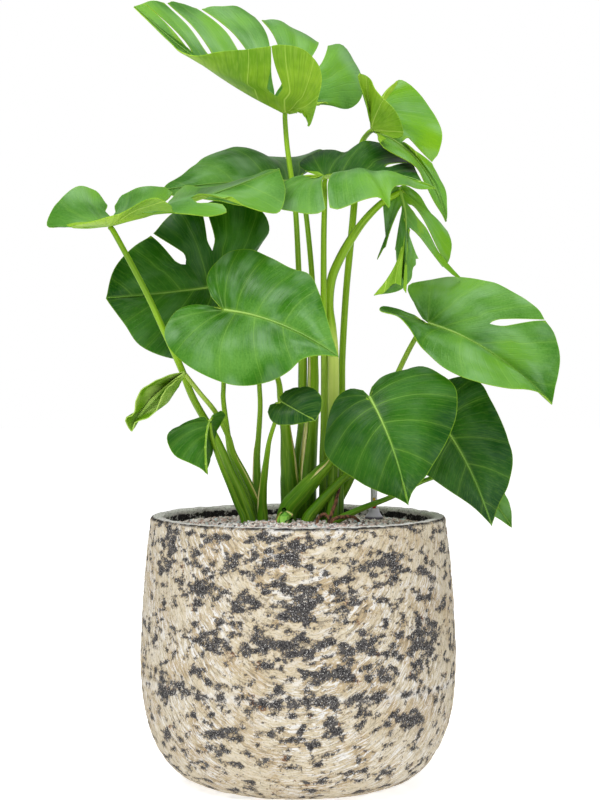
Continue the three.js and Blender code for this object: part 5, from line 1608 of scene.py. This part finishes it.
def planter_finish():
    finish = Finish("rough_cast", Roughness=0.9, Specular_IOR_Level=0.25)
    place = finish.place()
    height = finish.height()
    coarse = finish.math("SUBTRACT", finish.noise(place, 120, detail=6, roughness=0.78), 0.5)
    fine = finish.math("SUBTRACT", finish.noise(place, 480, detail=4, roughness=0.75), 0.5)
    strokes = finish.strokes(BRUSH_STROKE, BRUSH_TILT)
    wrinkles = finish.noise(strokes, 1.0, detail=4, roughness=0.7, distortion=0.9)
    clumps = finish.math("SUBTRACT", 0.46, finish.cells(finish.strokes(CLUMP), 1.0))
    ragged = finish.math("MULTIPLY_ADD", coarse, 2.2, finish.math("MULTIPLY", fine, 1.6))
    edge = finish.math("ADD", finish.carried("crust"), finish.math("MULTIPLY_ADD", clumps, 0.9, ragged))
    shows = finish.step(edge, 0.5, 0.7)
    ground = pot_ground(finish, place, wrinkles, finish.step(edge, 0.15, 0.5))
    off_ridge = finish.math("ABSOLUTE", finish.math("SUBTRACT", height, RIDGE_HEIGHT))
    ridge = finish.math("MULTIPLY", finish.step(off_ridge, 0.007, 0.001), finish.step(coarse, -0.1, 0.12))
    ground = finish.blend(ridge, ground, POT_WHITE)

    body = finish.blend(finish.step(fine, -0.08, 0.14), POT_CHARCOAL, POT_ASH)
    grains = finish.step(finish.noise(place, 700, detail=2), 0.6, 0.7, 0, 0.85)
    body = finish.blend(grains, body, POT_WHITE)
    colour = finish.blend(shows, ground, body)
    wall = finish.carried("wall")
    below_lip = finish.step(height, *LIP_FADE, 0, 0.42)
    inside = finish.math("ADD", below_lip, finish.noise(place, 85, detail=6, roughness=0.7))
    mottled = finish.blend(finish.step(inside, 0.83, 0.9), POT_WHITE, POT_CHARCOAL)
    mottled = finish.blend(finish.step(fine, 0.0, 0.12, 0, 0.6), mottled, POT_ASH)
    colour = finish.blend(finish.step(wall, 0.08, 0.25), colour, mottled)
    worn = finish.math("MULTIPLY", finish.step(height, *LIP_LINE), finish.step(wall, 0.24, 0.1))
    worn = finish.math("MULTIPLY", worn, finish.step(coarse, 0.14, -0.02))
    colour = finish.blend(worn, colour, POT_CHARCOAL)

    relief = finish.math("MULTIPLY_ADD", coarse, 0.0015, finish.math("MULTIPLY", fine, 0.0009))
    relief = finish.math("MULTIPLY_ADD", wrinkles, 0.0016, relief)
    relief = finish.math("SUBTRACT", relief, finish.math("MULTIPLY", shows, 0.0008))
    return finish.finish(colour, None, relief)


add_piece("planter_shell", pot_mesh, [planter_finish()], ["planter"])

# %% [markdown]
# ## Granules
#
# The fill is a mineral granulate of rounded 3 to 6 mm pebbles: white, grey, pinkish and tan, a few pale
# blue. A few thousand small twenty-sided stones, each squashed and turned its own way, lie over a mounded
# bed in a dark brown grey, which is painted shade for the gaps between the stones. They are one mesh, and
# every stone carries its own tint.

# %% Granules
PEBBLE_COUNT = 8500
HANDFUL = 50
PEBBLE_SIZE = (1.4, 2.7)
PEBBLE_PILE = 3.0
BED_SHADE_TINT = 1.0
BED_CLEARANCE = 0.4
BED_LEVELS = (34, 55, 90, POT_WIDEST_AT, 230, 284)
BED_SUNK = 1.5
BED_RINGS = 16
BED_SIDES = 96
FILL_EDGE = inner_radius(FILL_HEIGHT) - 0.6
chance = random.Random(11)


def fill_level(radius):
    """Height of the bed's surface at a distance from the middle, in millimetres."""
    return FILL_HEIGHT + FILL_MOUND * (1 - (radius / inner_radius(FILL_HEIGHT)) ** 2)


def bed():
    """The closed body of fill under the pebbles, dark as painted shade in the gaps between them."""
    bottom = POT_FLOOR + BED_CLEARANCE
    profile = [(0, bottom), (inner_radius(BED_LEVELS[0]) - FLOOR_CORNER - 1, bottom)]
    profile += [(inner_radius(z) - BED_CLEARANCE, z) for z in BED_LEVELS]
    for k in range(BED_RINGS + 1):
        radius = FILL_EDGE * (1 - k / BED_RINGS)
        profile.append((radius, fill_level(radius) - BED_SUNK))
    bm = turned(profile, BED_SIDES)
    # The bed takes the darkest tint, as painted shade in the gaps between the stones.
    tint = bm.verts.layers.float.new("tint")
    for corner in bm.verts:
        corner[tint] = BED_SHADE_TINT
    return bm


def pebble(bm, tint):
    """One stone, squashed and turned its own way, somewhere on the bed."""
    radius = (FILL_EDGE - 2.5) * math.sqrt(chance.random())
    angle = 2 * math.pi * chance.random()
    size = chance.triangular(*PEBBLE_SIZE, PEBBLE_SIZE[0] + 0.6)
    level = fill_level(radius) - 0.8 + chance.random() * PEBBLE_PILE
    centre = Vector((radius * math.cos(angle), radius * math.sin(angle), level))
    squash = Matrix.Diagonal([size * chance.uniform(0.75, 1.2) * MM for _ in range(3)]).to_4x4()
    turn = Matrix.Rotation(chance.uniform(0, math.pi), 4, Vector([chance.gauss(0, 1) for _ in range(3)]))
    where = Matrix.Translation(centre * MM) @ turn @ squash
    stone = bmesh.ops.create_icosphere(bm, subdivisions=1, radius=1, matrix=where)["verts"]
    shade = chance.random()
    for corner in stone:
        corner[tint] = shade
        corner.co += Vector([chance.gauss(0, 0.09) * size * MM for _ in range(3)])


def pebbles():
    """All the stones, made a handful at a time, because an operator slows down as its mesh grows."""
    handfuls = []
    for _ in range(PEBBLE_COUNT // HANDFUL):
        bm = bmesh.new()
        tint = bm.verts.layers.float.new("tint")
        for _ in range(HANDFUL):
            pebble(bm, tint)
        handfuls.append(bm)
    return handfuls


def pebble_finish():
    finish = Finish("granulate_mix", Roughness=0.92)
    # The last stops are the darkest stones; the very last is also the bed's colour, painted shade between the
    # stones.
    tints = [
        (0.0, paint(240, 238, 236)), (0.26, paint(214, 204, 200)), (0.40, paint(204, 170, 160)),
        (0.52, paint(156, 134, 122)), (0.62, paint(204, 220, 224)), (0.74, paint(120, 102, 96)),
        (0.86, paint(230, 220, 210)), (0.95, paint(96, 84, 80)), (1.0, paint(62, 52, 48)),
    ]
    colour = finish.shades(finish.carried("tint"), tints)
    speckle = finish.noise(finish.place(), 900)
    colour = finish.blend(finish.step(speckle, 0.45, 0.7, 0, 0.4), colour, paint(150, 138, 130))
    return finish.finish(colour, None, finish.math("MULTIPLY", speckle, 0.0004))


add_piece("granule_fill", joined([bed(), *pebbles()]), [pebble_finish()], ["granules"])

# %% [markdown]
# ## Root ball and aerial roots
#
# The stalks leave a dark, fibrous root ball that stands a little proud of the granules. It is a flattened
# globe made lumpy by noise, with a few dozen thin rootlets wandering over it. The three aerial roots are
# brown tubes on the same routes as their solids, wrinkled along their length.

# %% Roots
BALL_MIDDLE = Vector((12, 16, 0))
BALL_RADIUS = 56
BALL_TOP = FILL_HEIGHT + FILL_MOUND + 1.5
BALL_DEPTH = 120
BALL_CROWN = 10
BALL_WAIST = 0.97
LUMP_SIZE = 11
LUMP_HEIGHT = 1.6
GNARL_DEPTH = 0.18
ROOTLETS = 46
ROOTLET_WIDTH = (0.4, 1.1)
ROOTLET_PROUD = 0.6
ROOTLET_ENDS_SUNK = 1.5
ROOT_ROUTES = {
    "upright": [
        (30, -30, 280, 1.6), (35, -24, 300, 2), (42, -16, 318, 2), (47, -8, 336, 1.5), (50, -2, 344, 0.9),
    ],
    "trailing": [
        (34, -34, 282, 1.4), (38, -34, 300, 2), (52, -26, 304, 2.1), (66, -16, 301, 1.6),
        (74, -10, 286, 1.2),
    ],
    "looping": [
        (18, -36, 280, 1.4), (22, -38, 302, 1.8), (30, -40, 308, 1.8), (36, -40, 298, 1.5),
        (38, -42, 280, 1.2),
    ],
}


def root_finish():
    finish = Finish("root_bark", Roughness=0.9)
    fibres = finish.noise(finish.place((1, 1, 0.5)), 420, detail=4)
    colour = finish.blend(finish.step(fibres, 0.35, 0.68), paint(44, 28, 20), paint(136, 92, 60))
    return finish.finish(colour, None, finish.math("MULTIPLY", fibres, 0.001))


def root_ball():
    """A flattened globe, made lumpy, with short rootlets that wander over its crown."""
    bm = bmesh.new()
    ball = bmesh.ops.create_uvsphere(bm, u_segments=72, v_segments=40, radius=1)["verts"]
    for corner in ball:
        side = corner.co.copy()
        radius = BALL_RADIUS * (1 if side.z < 0 else BALL_WAIST)
        rise = side.z * (BALL_CROWN if side.z > 0 else BALL_DEPTH - BALL_CROWN)
        point = Vector((side.x * radius, side.y * radius, BALL_TOP - BALL_CROWN + rise)) + BALL_MIDDLE
        lump = noise.fractal(point / LUMP_SIZE, 1.0, 2.0, 3)
        corner.co = (point + Vector((0, 0, LUMP_HEIGHT * lump))) * MM
    for _ in range(ROOTLETS):
        angle = chance.uniform(0, 2 * math.pi)
        heading = angle + chance.uniform(0.6, 2.4)
        reach = BALL_RADIUS * 0.85 * math.sqrt(chance.random())
        start = BALL_MIDDLE + Vector((math.cos(angle), math.sin(angle), 0)) * reach
        stride = Vector((math.cos(heading), math.sin(heading), 0)) * chance.uniform(6, 13)
        route = []
        for k in range(4):
            sway = Vector((chance.uniform(-3, 3), chance.uniform(-3, 3), 0))
            spot = start + stride * (k - 1.5) + sway
            away = min(1, (spot - BALL_MIDDLE).xy.length / BALL_RADIUS)
            level = BALL_TOP - BALL_CROWN * (1 - math.sqrt(1 - away**2))
            level += ROOTLET_PROUD if 0 < k < 3 else -ROOTLET_ENDS_SUNK
            route.append((spot.x, spot.y, level, chance.uniform(*ROOTLET_WIDTH)))
        tube(bm, route, sides=6, step=4)
    return closed_outward(bm)


def gnarled(angle, place):
    """Three low ridges that wind along a root."""
    return 1 + GNARL_DEPTH * math.sin(3 * angle + 40 * place)


root_bark = root_finish()
add_piece("root_ball_crown", root_ball(), [root_bark], ["root_ball"])
for name, route in ROOT_ROUTES.items():
    bm = closed_outward(tube(bmesh.new(), route, sides=10, step=1.5, outline=gnarled))
    add_piece(f"aerial_root_{name}", bm, [root_bark], [f"root_{name}"])

# %% [markdown]
# ## The cut-back cane
#
# In front of the stalks a short thick cane ends in a clean slanting cut that faces the viewer. Its side is
# dark green. A cream and brown ring shows where the skin dried back, and the cut face is bright green.

# %% Cane
CANE_ROUTE = [(-19, -22, 262, 9), (-16, -24, 300, 9), (-14, -26, 309, 8.4)]
CANE_CUT_MIDDLE = Vector((-14.5, -25.5, 303.5))
CANE_CUT_FACES = Vector((-0.35, -0.68, 0.65))
CANE_RING = 1.3
CANE_DOME = 1.1
CANE_CREASE = math.radians(35)


def cane_skin():
    finish = Finish("cane_skin", Roughness=0.5)
    blotches = finish.noise(finish.place(), 160, detail=3)
    colour = finish.blend(finish.step(blotches, 0.35, 0.65), paint(48, 98, 16), paint(84, 132, 44))
    return finish.finish(colour, None, finish.math("MULTIPLY", blotches, 0.0008))


def cane_rim():
    finish = Finish("cane_dried_rim", Roughness=0.7)
    patches = finish.noise(finish.place(), 150, detail=3)
    colour = finish.blend(finish.step(patches, 0.42, 0.58), paint(206, 186, 122), paint(124, 78, 44))
    return finish.finish(colour)


def cane_face():
    finish = Finish("cane_cut_face", Roughness=0.45)
    rings = finish.noise(finish.place(), 120)
    colour = finish.blend(finish.step(rings, 0.35, 0.65), paint(72, 138, 16), paint(128, 182, 44))
    return finish.finish(colour)


def cane():
    """A tube cut off by a slanting plane. The cut is inset once, and its middle swells a little."""
    bm = closed_outward(tube(bmesh.new(), CANE_ROUTE, sides=28, step=1))
    everything = [*bm.verts, *bm.edges, *bm.faces]
    made = bmesh.ops.bisect_plane(bm, geom=everything, plane_co=CANE_CUT_MIDDLE * MM,
                                  plane_no=CANE_CUT_FACES.normalized(), clear_outer=True)
    loop = [item for item in made["geom_cut"] if isinstance(item, bmesh.types.BMEdge)]
    cut = bmesh.ops.contextual_create(bm, geom=loop)["faces"]
    ring = bmesh.ops.inset_region(bm, faces=cut, thickness=CANE_RING * MM)["faces"]
    for face in ring:
        face.material_index = 1
    swollen = bmesh.ops.inset_region(bm, faces=cut, thickness=2 * CANE_RING * MM,
                                     depth=CANE_DOME * MM)["faces"]
    for face in [*cut, *swollen]:
        face.material_index = 2
    return closed_outward(bm)


cane_finishes = [cane_skin(), cane_rim(), cane_face()]
stub = add_piece("cane", cane(), cane_finishes, ["cane_stub"])
stub.data.set_sharp_from_angle(angle=CANE_CREASE)

# %% [markdown]
# ## The water gauge
#
# A milky clear tube stands in a flared collar, dark at its foot. Inside it a red float shows the water's
# height, and two small marks are printed on the tube's front, as (height, half height, half width, ink) in
# millimetres. Each part is a turned profile, like the planter.

# %% Water gauge
GAUGE_X = 88
GAUGE_Y = 46
GAUGE_FOOT = 232
GAUGE_TOP = 352
TUBE_OUTER = 3.9
TUBE_INNER = 2.7
FLOAT_RADIUS = 2.2
COLLAR_BORE = TUBE_OUTER + 0.35
GAUGE_LEVEL = FILL_HEIGHT + FILL_MOUND + 0.35
GAUGE_SIDES = 40
GAUGE_MARKS = ((318.6, 2.2, 1.9, paint(232, 196, 52)), (309.5, 1.8, 2.4, paint(206, 40, 28)))
FLOAT_TURNS_YELLOW = 0.312
COLLAR_TURNS_PALE = 0.2985


def turned_at_gauge(profile):
    """A turned part, moved to where the gauge stands."""
    bm = turned(profile, GAUGE_SIDES)
    bmesh.ops.translate(bm, verts=bm.verts, vec=Vector((GAUGE_X, GAUGE_Y, 0)) * MM)
    return bm


def plastic(name, lower, upper, level, **constants):
    """Plastic that changes from one colour to another at a height, both a little uneven."""
    finish = Finish(name, **constants)
    grain = finish.noise(finish.place(), 300)
    height = finish.math("MULTIPLY_ADD", grain, 0.0005, finish.height())
    colour = finish.blend(finish.step(height, level - 0.001, level + 0.001), lower, upper)
    return finish.finish(finish.blend(finish.step(grain, 0.4, 0.7, 0, 0.15), colour, paint(150, 150, 156)))


def tube_finish():
    """Milky clear plastic with a small yellow mark above a red one, printed on its front."""
    finish = Finish("clear_plastic", Roughness=0.2, Transmission_Weight=0.4, IOR=1.45)
    place = finish.node("SeparateXYZ", {"Vector": finish.place()})
    beside = finish.math("ABSOLUTE", finish.math("SUBTRACT", place.outputs["X"], GAUGE_X * MM))
    front = finish.step(place.outputs["Y"], GAUGE_Y * MM, (GAUGE_Y - 1) * MM)
    colour = finish.blend(finish.noise(finish.place(), 300), paint(246, 246, 250), paint(232, 232, 238))
    for level, half_height, half_width, ink in GAUGE_MARKS:
        above = finish.math("ABSOLUTE", finish.math("SUBTRACT", place.outputs["Z"], level * MM))
        inked = finish.math("MULTIPLY", finish.step(above, half_height * MM, half_height * MM * 0.7), front)
        inked = finish.math("MULTIPLY", inked, finish.step(beside, half_width * MM, half_width * MM * 0.7))
        colour = finish.blend(inked, colour, ink)
    return finish.finish(colour)


tube_profile = [
    (TUBE_INNER, GAUGE_FOOT), (TUBE_OUTER, GAUGE_FOOT), (TUBE_OUTER, GAUGE_TOP - 1.5),
    (TUBE_OUTER - 0.5, GAUGE_TOP - 0.5), (TUBE_OUTER - 1.5, GAUGE_TOP), (0, GAUGE_TOP),
    (0, GAUGE_TOP - 1.6), (TUBE_INNER, GAUGE_TOP - 2.6), (TUBE_INNER, GAUGE_FOOT),
]
float_profile = [
    (0, GAUGE_LEVEL), (FLOAT_RADIUS, GAUGE_LEVEL), (FLOAT_RADIUS, GAUGE_LEVEL + 14),
    (FLOAT_RADIUS * 0.5, GAUGE_LEVEL + 16), (FLOAT_RADIUS * 0.5, GAUGE_LEVEL + 30), (0, GAUGE_LEVEL + 30),
]
collar_profile = [
    (COLLAR_BORE, GAUGE_LEVEL), (10.5, GAUGE_LEVEL), (10.8, GAUGE_LEVEL + 1.5), (10.2, GAUGE_LEVEL + 3),
    (8.4, GAUGE_LEVEL + 5), (7.2, GAUGE_LEVEL + 7), (6.4, GAUGE_LEVEL + 9), (6, GAUGE_LEVEL + 12),
    (COLLAR_BORE, GAUGE_LEVEL + 12), (COLLAR_BORE, GAUGE_LEVEL),
]
add_piece("gauge_clear_tube", turned_at_gauge(tube_profile), [tube_finish()], ["gauge_tube"])
red = plastic("red_plastic", paint(198, 34, 24), paint(226, 190, 60), FLOAT_TURNS_YELLOW, Roughness=0.4)
add_piece("gauge_red_float", turned_at_gauge(float_profile), [red], ["gauge_float"])
grey = plastic("grey_plastic", paint(84, 76, 92), paint(190, 184, 202), COLLAR_TURNS_PALE, Roughness=0.3)
add_piece("gauge_grey_collar", turned_at_gauge(collar_profile), [grey], ["gauge_collar"])
